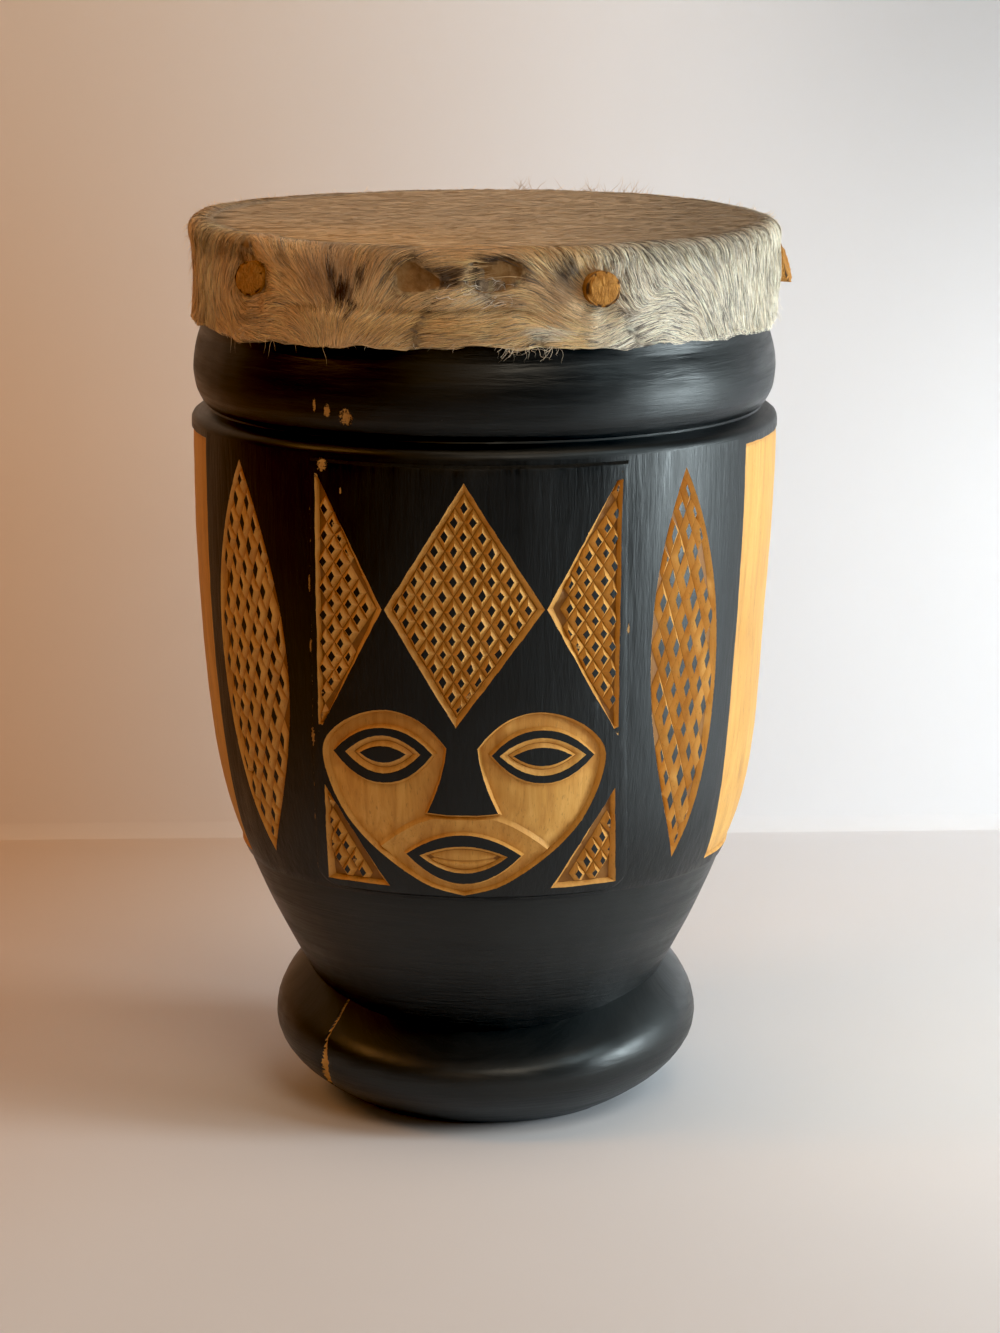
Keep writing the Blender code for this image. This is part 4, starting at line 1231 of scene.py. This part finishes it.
# Which way the hair lies: degrees round the drum, height, and the line's slant seen from outside
LIE = [(-39, 359, -45), (-35, 363, -45), (-33, 356, -50), (-38, 348, -30), (-42, 345, -10), (-44, 340, 30),
       (-36, 343, -35), (-31, 352, -60),
       (-29, 356, -65), (-27, 358, -80), (-25, 352, -88), (-23, 359, -100), (-21, 359, -110),
       (-19, 361, -120), (-17, 365, -140), (-14, 366, -155),
       (-15, 359, -125), (-17, 352, -115), (-20, 350, -100), (-19, 345, -110), (-14, 343, -125),
       (-25, 340, -90), (-30, 342, -50),
       (-37, 332, -10), (-33, 332, -35), (-31, 330, -65), (-29, 330, -85), (-27, 330, -92),
       (-25, 331, -105), (-23, 334, -130), (-20, 334, -140), (-15, 333, -150),
       (-12, 361, -155), (-8, 362, -170), (-3, 363, 0), (2, 364, -5), (7, 364, -10), (11, 361, -35),
       (14, 358, -45), (16, 360, -55), (18, 355, -65),
       (15, 353, -50), (12, 352, -25), (18, 348, -35), (20, 342, -30), (16, 342, -35), (14, 345, -25),
       (10, 349, -10), (6, 346, 0), (2, 345, 10),
       (0, 343, 25), (-4, 345, 15), (-8, 342, 25), (-11, 342, 35), (-13, 341, 45), (-15, 347, 60),
       (2, 340, 40), (7, 343, 20), (10, 342, 0), (12, 340, -20),
       (15, 337, -40), (18, 333, -40), (12, 334, -35), (12, 329, 35), (10, 327, 20), (18, 329, 5),
       (22, 330, -10), (-15, 331, 50), (-11, 334, 20), (-5, 333, 5),
       (0, 333, 0), (5, 333, 5), (7, 330, 15), (-4, 327, 10), (29, 363, -50), (38, 358, -50),
       (43, 350, -45), (34, 346, -60), (30, 355, -80), (48, 361, -60),
       (54, 356, -75), (61, 354, -85), (71, 356, -90), (71, 336, -88), (58, 339, -80), (51, 334, -60),
       (46, 345, -50), (34, 335, 20), (27, 332, 25), (38, 336, 10),
       (43, 332, -20), (54, 330, -70), (32, 340, -60), (48, 350, -50), (-72, 359, -98), (-69, 343, -95),
       (-73, 330, -90), (-60, 359, -110), (-58, 346, -100),
       (-61, 333, -80), (-53, 355, -120), (-45, 364, 160), (-41, 339, 15), (-45, 334, 10), (-54, 331, -60),
       (-58, 327, -10), (-49, 327, -10), (-49, 350, -100)]
LIE += [(d, z, -90 + 28 * math.sin(d * 0.11 + z * 0.09)) for d in range(84, 286, 11)
        for z in (327, 336, 345, 354, 362)]


def lie_of_hair(deg, z):
    best = np.zeros(deg.shape)
    c, s = np.full(deg.shape, 1e-4) * -1.0, np.zeros(deg.shape)
    for d, h, slant in LIE:
        w = np.exp(-(turn_mm(deg, d) ** 2 + (z - h) ** 2) / 42.0)
        c, s = c + w * math.cos(2 * math.radians(slant)), s + w * math.sin(2 * math.radians(slant))
    return 0.5 * np.arctan2(s, c)


TAN, GOLD, BROWN = (0.93, 0.69, 0.40), (0.93, 0.66, 0.33), (0.54, 0.38, 0.24)
CREAM, WHITE = (0.94, 0.85, 0.68), (0.95, 0.91, 0.82)
GREY, MAROON, DARK = (0.40, 0.37, 0.33), (0.060, 0.028, 0.021), (0.085, 0.062, 0.048)
HEAD_LOW, HEAD_HIGH = (0.60, 0.50, 0.37), (0.79, 0.67, 0.50)
# Soft-edged patches of hair colour: degrees, height, half width and half height in mm, colour, strength
PATCHES = [(-10.0, 357.0, 7.0, 1.0, DARK, 0.7), (4.5, 357.6, 10.0, 1.0, DARK, 0.75),
           (-48.5, 354.6, 5.0, 1.4, BROWN, 0.55), (-50.0, 352.8, 1.6, 1.6, DARK, 0.45),
           (17.5, 351.5, 4.6, 4.4, DARK, 0.7),
           (-27.0, 353.0, 15.0, 11.0, BROWN, 0.72), (-38.5, 356.5, 3.2, 3.4, DARK, 0.40),
           (-5.0, 361.0, 30.0, 4.0, BROWN, 0.3), (-12.0, 333.0, 44.0, 5.0, GOLD, 0.8),
           (-26.5, 352.5, 2.2, 4.5, MAROON, 0.95), (-24.2, 345.5, 4.6, 4.8, MAROON, 0.97),
           (-22.0, 340.0, 2.6, 5.0, MAROON, 0.9), (-20.0, 351.5, 2.0, 4.5, MAROON, 0.85),
           (-27.0, 341.0, 1.4, 3.5, MAROON, 0.6),
           (-30.0, 351.0, 2.0, 4.0, BROWN, 0.8), (-3.2, 350.5, 5.0, 4.6, MAROON, 0.85),
           (6.5, 356.2, 8.0, 1.8, MAROON, 0.85), (12.0, 350.0, 4.0, 2.0, BROWN, 0.8),
           (7.5, 341.0, 5.5, 2.6, BROWN, 0.7),
           (18.5, 354.0, 4.2, 5.0, DARK, 0.85), (17.0, 346.0, 7.0, 5.0, BROWN, 0.75),
           (14.0, 336.0, 10.0, 5.0, TAN, 0.4), (-49.0, 329.8, 6.5, 1.8, DARK, 0.42),
           (-50.0, 358.6, 5.0, 0.8, DARK, 0.25), (-66.0, 345.0, 16.0, 26.0, (0.95, 0.80, 0.54), 0.9),
           (14.0, 329.0, 9.0, 3.0, WHITE, 0.6), (3.0, 343.0, 6.5, 3.5, WHITE, 0.55),
           (30.5, 336.0, 6.0, 2.2, DARK, 0.5), (62.0, 357.0, 1.6, 2.4, DARK, 0.5),
           (150.0, 345.0, 30.0, 16.0, TAN, 0.8), (205.0, 340.0, 38.0, 18.0, BROWN, 0.6),
           (250.0, 350.0, 30.0, 12.0, CREAM, 0.5)]


def hair_colour(deg, z):
    n = len(deg)
    col = np.tile(np.array(TAN), (n, 1))
    round_deg = np.where(deg < -120, deg + 360, deg)
    pale = ease(20.0, 31.0, round_deg + 3.0 * SHADES(deg, z)) * (1 - ease(112, 150, round_deg))
    col += (np.array(CREAM) - col) * pale[:, None]
    w = 0.35 * SHADES(deg, z)
    col += (np.array(BROWN) - col) * np.clip(w, 0, 1)[:, None] * (1 - 0.7 * pale[:, None])
    col += (np.array(GOLD) - col) * np.clip(-w, 0, 1)[:, None] * (1 - pale[:, None])
    for d, h, half, high, c, k in PATCHES:
        q = np.hypot(turn_mm(deg, d) / half, (z - h) / high) + 0.25 * LOCKS(deg, z)
        m = k * (1 - ease(0.65, 1.25, q))
        col += (np.array(c) - col) * m[:, None]
    odd = strew.random(n)
    dark = (odd < 0.22 * pale * (1 - 0.6 * ease(58, 70, deg)) + 0.04)
    col[dark] = np.array(GREY) * 0.6
    light = (odd > 0.93) & ~dark
    col[light] = col[light] * 0.4 + np.array(WHITE) * 0.6 * (0.45 + 0.55 * pale[light, None])
    return np.minimum(col * strew.uniform(0.66, 1.22, n)[:, None], 0.95)


def head_colour(x, y):
    col = np.tile(np.array(HEAD_LOW), (len(x), 1))
    w = np.clip(0.5 + 0.4 * SHADES(x * 0.25, y * 1.6) - 0.10, 0, 1)
    col += (np.array(HEAD_HIGH) - col) * w[:, None]
    col += (np.array(GOLD) - col) * (0.45 * ease(0, -90, y) * ease(60, -60, x))[:, None]
    col = col * (1.0 + 0.07 * SHADES(x * 0.06, y * 4.5) - 0.34 * ease(15, 95, x))[:, None]
    return np.minimum(col * strew.uniform(0.89, 1.09, len(x))[:, None], 0.95)


def to_mesh_object(name, points, faces, colours, material):
    me = bpy.data.meshes.new(name)
    me.from_pydata(points.tolist(), [], faces.tolist())
    set_tint(me, colours)
    me.shade_smooth()
    me.materials.append(material)
    return add_to_scene(name, me)


# One tapering ribbon for each strand of hair, all built in one go
def ribbons(name, path, across, width, colours, material):
    n, k = path.shape[:2]
    t = np.linspace(0, 1, k)
    taper = np.clip(1.12 * (1 - t ** 2.2), 0.0, 1.0) * (0.55 + 0.45 * np.minimum(1, t * 4))
    half = 0.5 * width[:, None] * taper[None, :-1]
    left = path[:, :-1] - across[:, :-1] * half[..., None] * MM
    right = path[:, :-1] + across[:, :-1] * half[..., None] * MM
    block = 2 * (k - 1) + 1
    pts = np.zeros((n, block, 3))
    pts[:, 0:-1:2], pts[:, 1:-1:2], pts[:, -1] = left, right, path[:, -1]
    # Painted shade: each strand darkens toward its root near the skin, and is lighter toward its tip
    shade = 0.66 + 0.42 * np.minimum(1.0, t * 1.5)
    col = np.zeros((n, block, 3))
    col[:, 0:-1:2] = colours[:, None] * shade[None, :-1, None]
    col[:, 1:-1:2] = col[:, 0:-1:2]
    col[:, -1] = np.minimum(colours * 1.1, 0.95)
    quads = []
    for i in range(k - 2):
        quads += [(2 * i, 2 * i + 1, 2 * i + 3), (2 * i, 2 * i + 3, 2 * i + 2)]
    quads.append((2 * (k - 2), 2 * (k - 2) + 1, 2 * (k - 1)))
    faces = (np.array(quads)[None] + (np.arange(n) * block)[:, None, None]).reshape(-1, 3)
    ob = to_mesh_object(name, pts.reshape(-1, 3), faces, col.reshape(-1, 3), material)
    side = math.ceil(math.sqrt(n))
    cell = np.zeros((n, block, 2))
    cell[:, 0:-1:2, 0], cell[:, 1:-1:2, 0], cell[:, -1, 0] = 0.15, 0.85, 0.5
    cell[:, 0:-1:2, 1] = cell[:, 1:-1:2, 1] = 0.1 + 0.8 * t[None, :-1]
    cell[:, -1, 1] = 0.9
    cell[..., 0] = (cell[..., 0] + (np.arange(n) % side)[:, None]) / side
    cell[..., 1] = (cell[..., 1] + (np.arange(n) // side)[:, None]) / side
    set_bake_map(ob.data, cell.reshape(-1, 2)[loop_corners(ob.data)])
    return ob


# Walks each strand along the lie of the hair from its root, a little off it for each strand
def comb(deg, z, length, lift, stray=0.0, steps=5):
    n = len(deg)
    path, place = np.zeros((n, steps, 3)), [deg.copy(), z.copy()]
    turn = np.radians(4.5) * strew.standard_normal(n) + stray * strew.standard_normal(n)
    bend = np.radians(9.0) * strew.standard_normal(n)
    hang = (0.3 + 1.1 * strew.random(n)) * (1.0 + 1.2 * ease(30, 45, deg) * (1 - ease(70, 90, deg)))
    way = None
    over, mid = np.zeros(n), None
    tufty = 0.5 + 0.5 * LOCKS(deg, z)
    for i in range(steps):
        t = i / (steps - 1)
        place[1] = np.maximum(place[1], hem_edge(place[0]) - hang)
        over = np.maximum(over, bare_place(*place))
        if i == steps // 2:
            mid = (place[0].copy(), place[1].copy())
        rise = lift * (0.15 + 0.95 * t ** 0.8) * (0.45 + 0.75 * np.clip(tufty, 0, 1))
        h = skin_relief(*place) + rise - 0.12
        path[:, i] = on_hide(place[0], place[1], h)
        line = lie_of_hair(*place)
        c, s = np.cos(line), np.sin(line)
        if way is None:
            flip = np.where(0.35 * c - s > 0, 1.0, -1.0)
        else:
            flip = np.where(c * way[0] + s * way[1] > 0, 1.0, -1.0)
        way = (c * flip, s * flip)
        sway = np.radians(9.0) * LOCKS(place[0] * 1.3 + 40, place[1])
        ang = np.arctan2(way[1], way[0]) + turn + bend * (t - 0.5) + sway
        step = length / (steps - 1)
        place[0] = place[0] + np.degrees(step * np.cos(ang) / SKIN_R)
        place[1] = place[1] + step * np.sin(ang)
    tangent = unit_rows(np.gradient(path, axis=1))
    a = np.radians(deg)
    t = np.clip((z - EDGE_Z) / BEND, 0, math.pi / 2)
    out = np.stack([np.cos(t) * np.sin(a), -np.cos(t) * np.cos(a), np.sin(t)], -1)
    across = rolled(unit_rows(np.cross(tangent, out[:, None])), tangent, strew.uniform(-0.45, 0.45, n))
    return path, across, over, mid


def hair_material():
    m, k, b = start_material("goat_hair", 0.46, 0.35)
    tint = k.add("ShaderNodeAttribute", attribute_name="tint").outputs["Color"]
    n = k.noise(k.place(), 1500.0, 2.0, 0.5)
    k.wire(k.mix(n, k.mix(0.12, tint, (0.10, 0.07, 0.04)), tint), b.inputs["Base Color"])
    b.inputs["Sheen Weight"].default_value = 0.12
    b.inputs["Sheen Roughness"].default_value = 0.4
    return m


def skin_material():
    m, k, b = start_material("hide_skin", 0.72, 0.3)
    tint = k.add("ShaderNodeAttribute", attribute_name="tint").outputs["Color"]
    place = k.place()
    fuzz = k.noise(place, 520.0, 5.0, 0.7)
    blot = k.noise(place, 120.0, 4.0, 0.6)
    # Painted shade: the skin under the hair goes darker in flecks, as shade between the strands
    skin_under_hair_shaded = k.mix(k.step(fuzz, 0.3, 0.75), k.mix(0.62, tint, (0.02, 0.012, 0.008)), tint)
    leather = k.ramp(blot, (0.3, (0.16, 0.085, 0.03)), (0.55, (0.30, 0.18, 0.075)), (0.8, (0.40, 0.27, 0.13)))
    leather = k.mix(k.times(k.step(fuzz, 0.5, 0.8), 0.4), leather, (0.5, 0.38, 0.22))
    k.wire(k.mix(k.step(k.attribute("bare"), 0.35, 0.75), skin_under_hair_shaded, leather), b.inputs["Base Color"])
    k.wire(bump(k, fuzz, 0.6, 0.0006), b.inputs["Normal"])
    return m


HAIR = hair_material()
skin = to_object(build_skin(), "hide_skin", [skin_material()])
flat = vertex_places(skin.data)
skin_deg = np.degrees(np.arctan2(flat[:, 0], -flat[:, 1]))
# Painted shade: the skin under the hair is the hair's colour darkened, as shade between the strands
skin_col = hair_colour(skin_deg, flat[:, 2]) * 0.62
on_head = flat[:, 2] > SKIN_TOP - 1.5
skin_col[on_head] = head_colour(flat[on_head, 0], flat[on_head, 1]) * 0.8
set_tint(skin.data, skin_col)
SKIN_PROFILE = [(0, SKIN_TOP), (SKIN_R - BEND, SKIN_TOP), (SKIN_R - 0.3 * BEND, SKIN_TOP - 0.3 * BEND),
                (SKIN_R, EDGE_Z), (SKIN_R, HEM_Z), (RIM_R + 0.6, HEM_Z), (RIM_R + 0.6, SKIN_TOP - 3.2),
                (0, SKIN_TOP - 2.2)]
skin_uv, corner_at, first, count = unroll(skin.data, SKIN_PROFILE, 0.5, 1.0)
# The flat top and its underside lie unbent in the lower half of the bake map
in_flat = np.hypot(corner_at[:, 0], corner_at[:, 1]) < SKIN_R - BEND + 0.5
flat_up = np.repeat(np.minimum.reduceat(in_flat, first), count)
skin_uv[flat_up] = np.stack([0.25 + corner_at[flat_up, 0] / 500.0
                             + 0.5 * (corner_at[flat_up, 2] < SKIN_TOP - 1.4),
                             0.25 + corner_at[flat_up, 1] / 500.0], -1)
set_bake_map(skin.data, skin_uv)
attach(skin, "root")
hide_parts("hide_head")


def plant(count, z_low, z_high):
    deg = strew.uniform(-180.0, 180.0, count)
    z = z_low + (z_high - z_low) * strew.random(count)
    z = np.maximum(z, hem_edge(deg) - 0.4)
    keep = (bare_place(deg, z) < 0.45) & (near_peg(deg, z) > 7.4)
    keep |= (strew.random(count) < 0.04) & (near_peg(deg, z) > 7.4)
    return deg[keep], z[keep]


def coat(name, count):
    deg, z = plant(count, HEM_Z - 0.5, EDGE_Z + BEND * 1.5)
    n = len(deg)
    length = strew.uniform(7.5, 14.5, n) * (0.8 + 0.2 * ease(2, 10, z - hem_edge(deg)))
    length = np.where(near_peg(deg, z) < 14, length * 0.7, length)
    path, across, over, mid = comb(deg, z, length, strew.uniform(0.25, 1.15, n))
    keep = (over < 0.55) | (strew.random(n) < 0.10)
    return ribbons(name, path[keep], across[keep], strew.uniform(0.16, 0.36, n)[keep],
                   hair_colour(*mid)[keep], HAIR)


# Single hairs: count, then ranges of degrees, height, reach across, out and up, then curl and colour
STRAYS = [(90, (148, 177), (353, 362), (-6, 6), (1, 4), (2, 7.5), 0.5, BROWN),
          (260, (95, 265), (354, 362), (-3, 3), (0.5, 2.4), (0.5, 2.6), 0.2, TAN),
          (70, (-103, -78), (324, 360), (-2, 2), (1, 3.6), (-6, -1), 0.3, TAN),
          (40, (76, 104), (323, 330), (-2, 2), (0.5, 3.2), (-6, -1), 0.4, WHITE),
          (34, (7, 17), (323, 325), (-6, 6), (0.6, 2.2), (-6, -1), 1.5, CREAM),
          (9, (-54, -27), (323, 325), (-3, 4), (0.6, 1.6), (-9, -3), 0.5, TAN),
          (40, (-3, 8), (340, 349), (-7, 7), (1, 2.6), (-4, 3), 1.2, WHITE),
          (60, (-60, 60), (323, 326), (-4, 4), (0.4, 1.4), (-3.4, -0.6), 0.4, CREAM)]


def strays():
    paths, tints = [], []
    t = np.linspace(0, 1, 8)
    for count, degs, heights, side, out, up, curl, tint in STRAYS:
        deg, z = strew.uniform(*degs, count), strew.uniform(*heights, count)
        z = np.maximum(z, hem_edge(deg) - 0.2)
        dx, do, dz = strew.uniform(*side, count), strew.uniform(*out, count), strew.uniform(*up, count)
        turn = strew.uniform(0, math.tau, count)
        base = on_hide(deg, z, skin_relief(deg, z) + 0.2)
        a = np.radians(deg)
        sideways = np.stack([np.cos(a), np.sin(a), 0 * a], -1)
        away = np.stack([np.sin(a), -np.cos(a), 0 * a], -1)
        rise = np.array([0.0, 0.0, 1.0])
        wave = curl * np.sin(t[None] * 7.0 + turn[:, None]) * t[None]
        swing = curl * np.cos(t[None] * 6.0 + turn[:, None]) * t[None]
        aside = (dx[:, None] * t + wave)[..., None]
        off = (do[:, None] * t ** 0.8 + 0.3 * swing)[..., None]
        lift = (dz[:, None] * t ** 1.3 + swing)[..., None]
        paths.append(base[:, None] + MM * (sideways[:, None] * aside + away[:, None] * off + rise * lift))
        tints.append(np.tile(np.array(tint), (count, 1)) * strew.uniform(0.7, 1.1, count)[:, None])
    path, tint = np.concatenate(paths), np.concatenate(tints)
    across = unit_rows(np.cross(np.gradient(path, axis=1), np.array([0.25, -0.95, 0.2])))
    return ribbons("stray_hair", path, across, strew.uniform(0.09, 0.19, len(path)), tint, HAIR)


# Short hair lying across the drumhead
def crop(name, count):
    r = (SKIN_R - BEND + 1.0) * np.sqrt(strew.random(count))
    a = strew.uniform(0, math.tau, count)
    x, y = r * np.sin(a), -r * np.cos(a)
    sway = 0.10 * FOLDS(x * 0.9, y) + 0.05 * TUFTS(x * 1.1, y * 1.3) + 0.07 * strew.standard_normal(count)
    ang = np.radians(9.0) * np.sin(x / 70.0) + sway
    length = strew.uniform(8.0, 14.0, count)
    steps = 3
    path = np.zeros((count, steps, 3))
    lift = strew.uniform(0.12, 0.50, count)
    px, py = x.copy(), y.copy()
    for i in range(steps):
        t = i / (steps - 1)
        rr = np.hypot(px, py)
        fall = np.maximum(0, rr - (SKIN_R - BEND))
        pz = SKIN_TOP - 0.1 + lift * (0.2 + 0.8 * t) - fall ** 2 / (2 * BEND)
        path[:, i] = np.stack([px, py, pz], -1) * MM
        px = px + length / (steps - 1) * np.cos(ang)
        py = py + length / (steps - 1) * np.sin(ang)
        ang = ang + np.radians(3) * strew.standard_normal(count)
    inside = np.hypot(px, py) < SKIN_R - 0.6
    tangent = unit_rows(np.gradient(path, axis=1))
    across = unit_rows(np.cross(tangent, np.array([0.0, 0.0, 1.0])))
    across = rolled(across, tangent, strew.uniform(-0.6, 0.6, count))
    return ribbons(name, path[inside], across[inside], strew.uniform(0.14, 0.32, count)[inside],
                   head_colour(x, y)[inside], HAIR)


pieces = [coat("side_hair_%d" % i, 27000) for i in (1, 2, 3, 4)]
pieces += [crop("head_hair_%d" % i, 52000) for i in (1, 2, 3)] + [strays()]
for ob in pieces:
    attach(ob, "root")


# Pegs split from a branch, their ends cut with a knife
def peg_material():
    m, k, b = start_material("peg_end_grain", spec=0.3)
    place = k.place()
    g = use_group(k, WOOD, Place=k.mapping(place, (1, 1, 1), (0.3, 0.1, 0.7), (1.2, 0.4, 0.3)), Warmth=1.0)
    fibre = k.noise(k.mapping(place, (1, 1, 0.3), rot=(0.0, 0.7, 0.0)), 900.0, 4.0, 0.7, 1.5)
    col = k.mix(k.step(fibre, 0.35, 0.65), (0.16, 0.065, 0.012), g.outputs["Colour"])
    col = k.mix(0.45, col, (0.56, 0.25, 0.045))
    k.wire(k.mix(k.step(k.attribute("low"), 0.2, 1.0), col, (0.07, 0.03, 0.01)), b.inputs["Base Color"])
    b.inputs["Roughness"].default_value = 0.7
    k.wire(bump(k, fibre, 0.8, 0.0007), b.inputs["Normal"])
    return m


PEG = peg_material()
# For each end: slant across and up, reach from the axis, width, height, narrowing upward, lean and drop
ENDS = [(0.05, -0.04, 121.6, 1.0, 1.0, 0.0, 0.0, 0.0), (0.25, -0.35, 124.6, 1.0, 1.16, 0.1, 0.0, 3.6),
        (-0.12, 0.10, 122.0, 1.0, 1.0, 0.0, 0.0, 0.0),
        (0.16, -0.2, 121.8, 1.0, 0.95, 0.1, 0.0, 0.0), (-0.30, 0.22, 121.2, 1.0, 1.02, 0.35, 0.30, 0.0)]
PEG_ROOT_R, PEG_END_R = 6.4, 6.8


def build_peg(n):
    bm = bmesh.new()
    low = bm.verts.layers.float.new("low")
    tilt_x, tilt_y, end, wide, tall, narrow, lean, drop = ENDS[n]
    start = RIM_INNER_R + 1.0
    bmesh.ops.create_cone(bm, cap_ends=True, segments=36, radius1=PEG_ROOT_R * MM, radius2=PEG_END_R * MM,
                          depth=(end - start) * MM)
    bmesh.ops.translate(bm, vec=(0, 0, 0.5 * (end - start) * MM), verts=bm.verts)
    cap = [f for f in bm.faces if f.normal.z > 0.9]
    for width in (0.5, 1.0, 1.3, 1.3, 1.2):
        bmesh.ops.inset_region(bm, faces=cap, thickness=width * MM)
        cap = [f for f in bm.faces if f.normal.z > 0.9 and f.calc_center_median().xy.length < 0.3 * MM
               and len(f.verts) > 8]
    bmesh.ops.subdivide_edges(bm, edges=[e for e in bm.edges if e.calc_length() > 4 * MM], cuts=8)
    seed = Vector((3.1 * n, 7.7, 1.3))
    for v in bm.verts:
        x, y, z = v.co.x / MM, v.co.y / MM, v.co.z / MM
        r = math.hypot(x, y)
        grain = 1 + 0.05 * noise.noise(Vector((math.atan2(y, x) * 1.5, n, z * 0.12)) + seed)
        near_end = clamp((z - (end - start) + 5.0) / 5.0)
        rough = 0.55 * noise.noise(Vector((x * 0.9, y * 0.35, 0)) + seed)
        rough += 0.35 * noise.noise(Vector((x * 2.4, y * 0.8, 1)) + seed)
        dz = near_end * (tilt_x * x + tilt_y * y - abs(tilt_x) * 5 - abs(tilt_y) * 4 + rough
                         - (0.7 if r > 6.2 else 0.0))
        v[low] = 1.0 if (r > 6.1 and near_end > 0.9
                         and noise.noise(Vector((x, y, 2)) * 0.5 + seed) > 0.0) else 0.0
        squeeze = 1 - narrow * max(0.0, y / PEG_END_R) * clamp((z - 12.0) / 4.0)
        bent = clamp((z - 10.0) / 4.5)
        v.co = Vector((x * grain * wide * squeeze + bent * lean * y, y * grain * tall - bent * drop,
                       z + dz)) * MM
    a = math.radians(PEG_DEGS[n])
    axis = Vector((math.sin(a), -math.cos(a), 0))
    turn_to = Matrix((Vector((math.cos(a), math.sin(a), 0)), Vector((0, 0, 1)), axis)).transposed().to_4x4()
    move = Matrix.Translation(axis * start * MM + Vector((0, 0, PEG_Z * MM)))
    bmesh.ops.transform(bm, matrix=move @ turn_to, verts=bm.verts)
    bmesh.ops.recalc_face_normals(bm, faces=bm.faces)
    for f in bm.faces:
        f.smooth = True
    return to_object(bm, "split_peg_%d" % (n + 1), [PEG], 40)


for n in range(5):
    peg = build_peg(n)
    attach(peg, "root")
    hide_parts("peg_%d" % (n + 1))


# Plain soft studio round the drum, with painted light and shade: a warmer brown at the left as painted shadow
# and warm lamp light, and darker high up at the right as painted shade
def stage_material(name, colour):
    m, k, b = start_material(name, 0.75, 0.25)
    place = k.place()
    x_out, y_out, z_out = k.split(place)
    across = k.plus(x_out, k.times(k.minus(0.4, y_out), 0.35))
    n = k.noise(place, 9.0, 2.0, 0.5)
    right = k.mix(n, colour, tuple(min(1.0, c * 1.03) for c in colour))
    high = k.step(z_out, 0.14, 0.48)
    # Painted shade: the wall is darker high up at the right
    right = k.mix(k.times(high, k.step(x_out, 0.0, 0.24)), right, tuple(0.62 * c for c in colour))
    # Painted shadow and warm lamp light: the wall and floor at the left are brown
    left = k.mix(high, (0.65, 0.455, 0.30), (0.68, 0.57, 0.47))
    k.wire(k.mix(k.step(across, -0.34, 0.12), left, right), b.inputs["Base Color"])
    return m


def build_stage():
    bm = bmesh.new()
    run = [(-1.6, 0.0), (0.423, 0.0), (0.4272, 0.0012), (0.4292, 0.0040), (0.43, 0.009), (0.43, 1.9)]
    rows = [bm.verts.new((-2.2, y, z)) for y, z in run]
    edges = [bm.edges.new(p) for p in zip(rows, rows[1:])]
    out = bmesh.ops.extrude_edge_only(bm, edges=edges)
    bmesh.ops.translate(bm, vec=(4.4, 0, 0),
                        verts=[g for g in out["geom"] if isinstance(g, bmesh.types.BMVert)])
    for v in bm.verts:
        if v.co.y > 0.3:
            v.co.y += 0.1 * v.co.x
    bmesh.ops.recalc_face_normals(bm, faces=bm.faces)
    for f in bm.faces:
        f.smooth = True
        if f.normal.z < -0.1:
            f.normal_flip()
    return to_object(bm, "studio_sweep", [stage_material("studio_painted_shade", (0.77, 0.79, 0.83))], 30)


build_stage()


def area_light(name, at, to, size, size_y, power, colour):
    data = bpy.data.lights.new(name, "AREA")
    data.shape = "RECTANGLE"
    data.size, data.size_y, data.energy, data.color = size, size_y, power, colour
    ob = add_to_scene(name, data)
    ob.location = at
    ob.rotation_euler = (Vector(to) - Vector(at)).to_track_quat("-Z", "Y").to_euler()


# Name, place, aim, width and height in metres, power in watts, colour
area_light("by_the_wall", (0.62, 0.16, 0.28), (0.2, 0.35, 0.1), 0.30, 0.45, 0.35, (0.87, 0.98, 1.0))
area_light("near_window", (0.85, -0.15, 0.22), (0.25, 0.1, 0.1), 0.26, 0.30, 5.8, (0.90, 0.98, 1.0))
area_light("high_window", (0.9, -0.5, 1.0), (0, 0.0, 0.15), 0.5, 0.5, 3.4, (0.87, 0.98, 1.0))
area_light("lamp", (-0.85, -0.35, 1.0), (-0.3, 0.3, 0.2), 0.4, 0.4, 2.7, (1.0, 0.42, 0.10))
area_light("ceiling", (0.5, -1.6, 1.5), (0, -0.3, 0.0), 0.8, 0.8, 8.0, (1.0, 0.82, 0.64))
area_light("wall_wash", (0.2, -0.2, 1.7), (0.05, 0.45, 0.5), 1.0, 0.6, 5.0, (1.0, 0.75, 0.52))
area_light("room", (-0.5, -2.3, 1.0), (0, 0, 0.2), 1.2, 1.0, 3.0, (1.0, 0.58, 0.28))
world = bpy.data.worlds.new("room")
world.use_nodes = True
world.node_tree.nodes["Background"].inputs[0].default_value = (1.0, 0.80, 0.62, 1)
world.node_tree.nodes["Background"].inputs[1].default_value = 0.015
bpy.context.scene.world = world

# The photograph's long-lens view, a little to the right of the mask and above the head
turn = math.radians(3.5)
CAMERA_AWAY, CAMERA_UP, CAMERA_DIP, CAMERA_PAN = 1.7787, 0.546, 0.2044, 0.0034
cam_data = bpy.data.cameras.new("view")
cam_data.sensor_fit = "AUTO"
cam_data.sensor_width = 36.0
cam_data.lens = 120.0
cam_data.clip_start = 0.05
cam = add_to_scene("view", cam_data)
cam.location = (CAMERA_AWAY * math.sin(turn), -CAMERA_AWAY * math.cos(turn), CAMERA_UP)
cam.rotation_euler = (math.pi / 2 - CAMERA_DIP, 0.0, turn - CAMERA_PAN)
bpy.context.scene.camera = cam
look = bpy.context.scene.view_settings
look.view_transform = "Standard"
look.gamma = 0.94
look.use_curve_mapping = True
look.curve_mapping.black_level = (0.008, 0.007, 0.006)
look.curve_mapping.update()
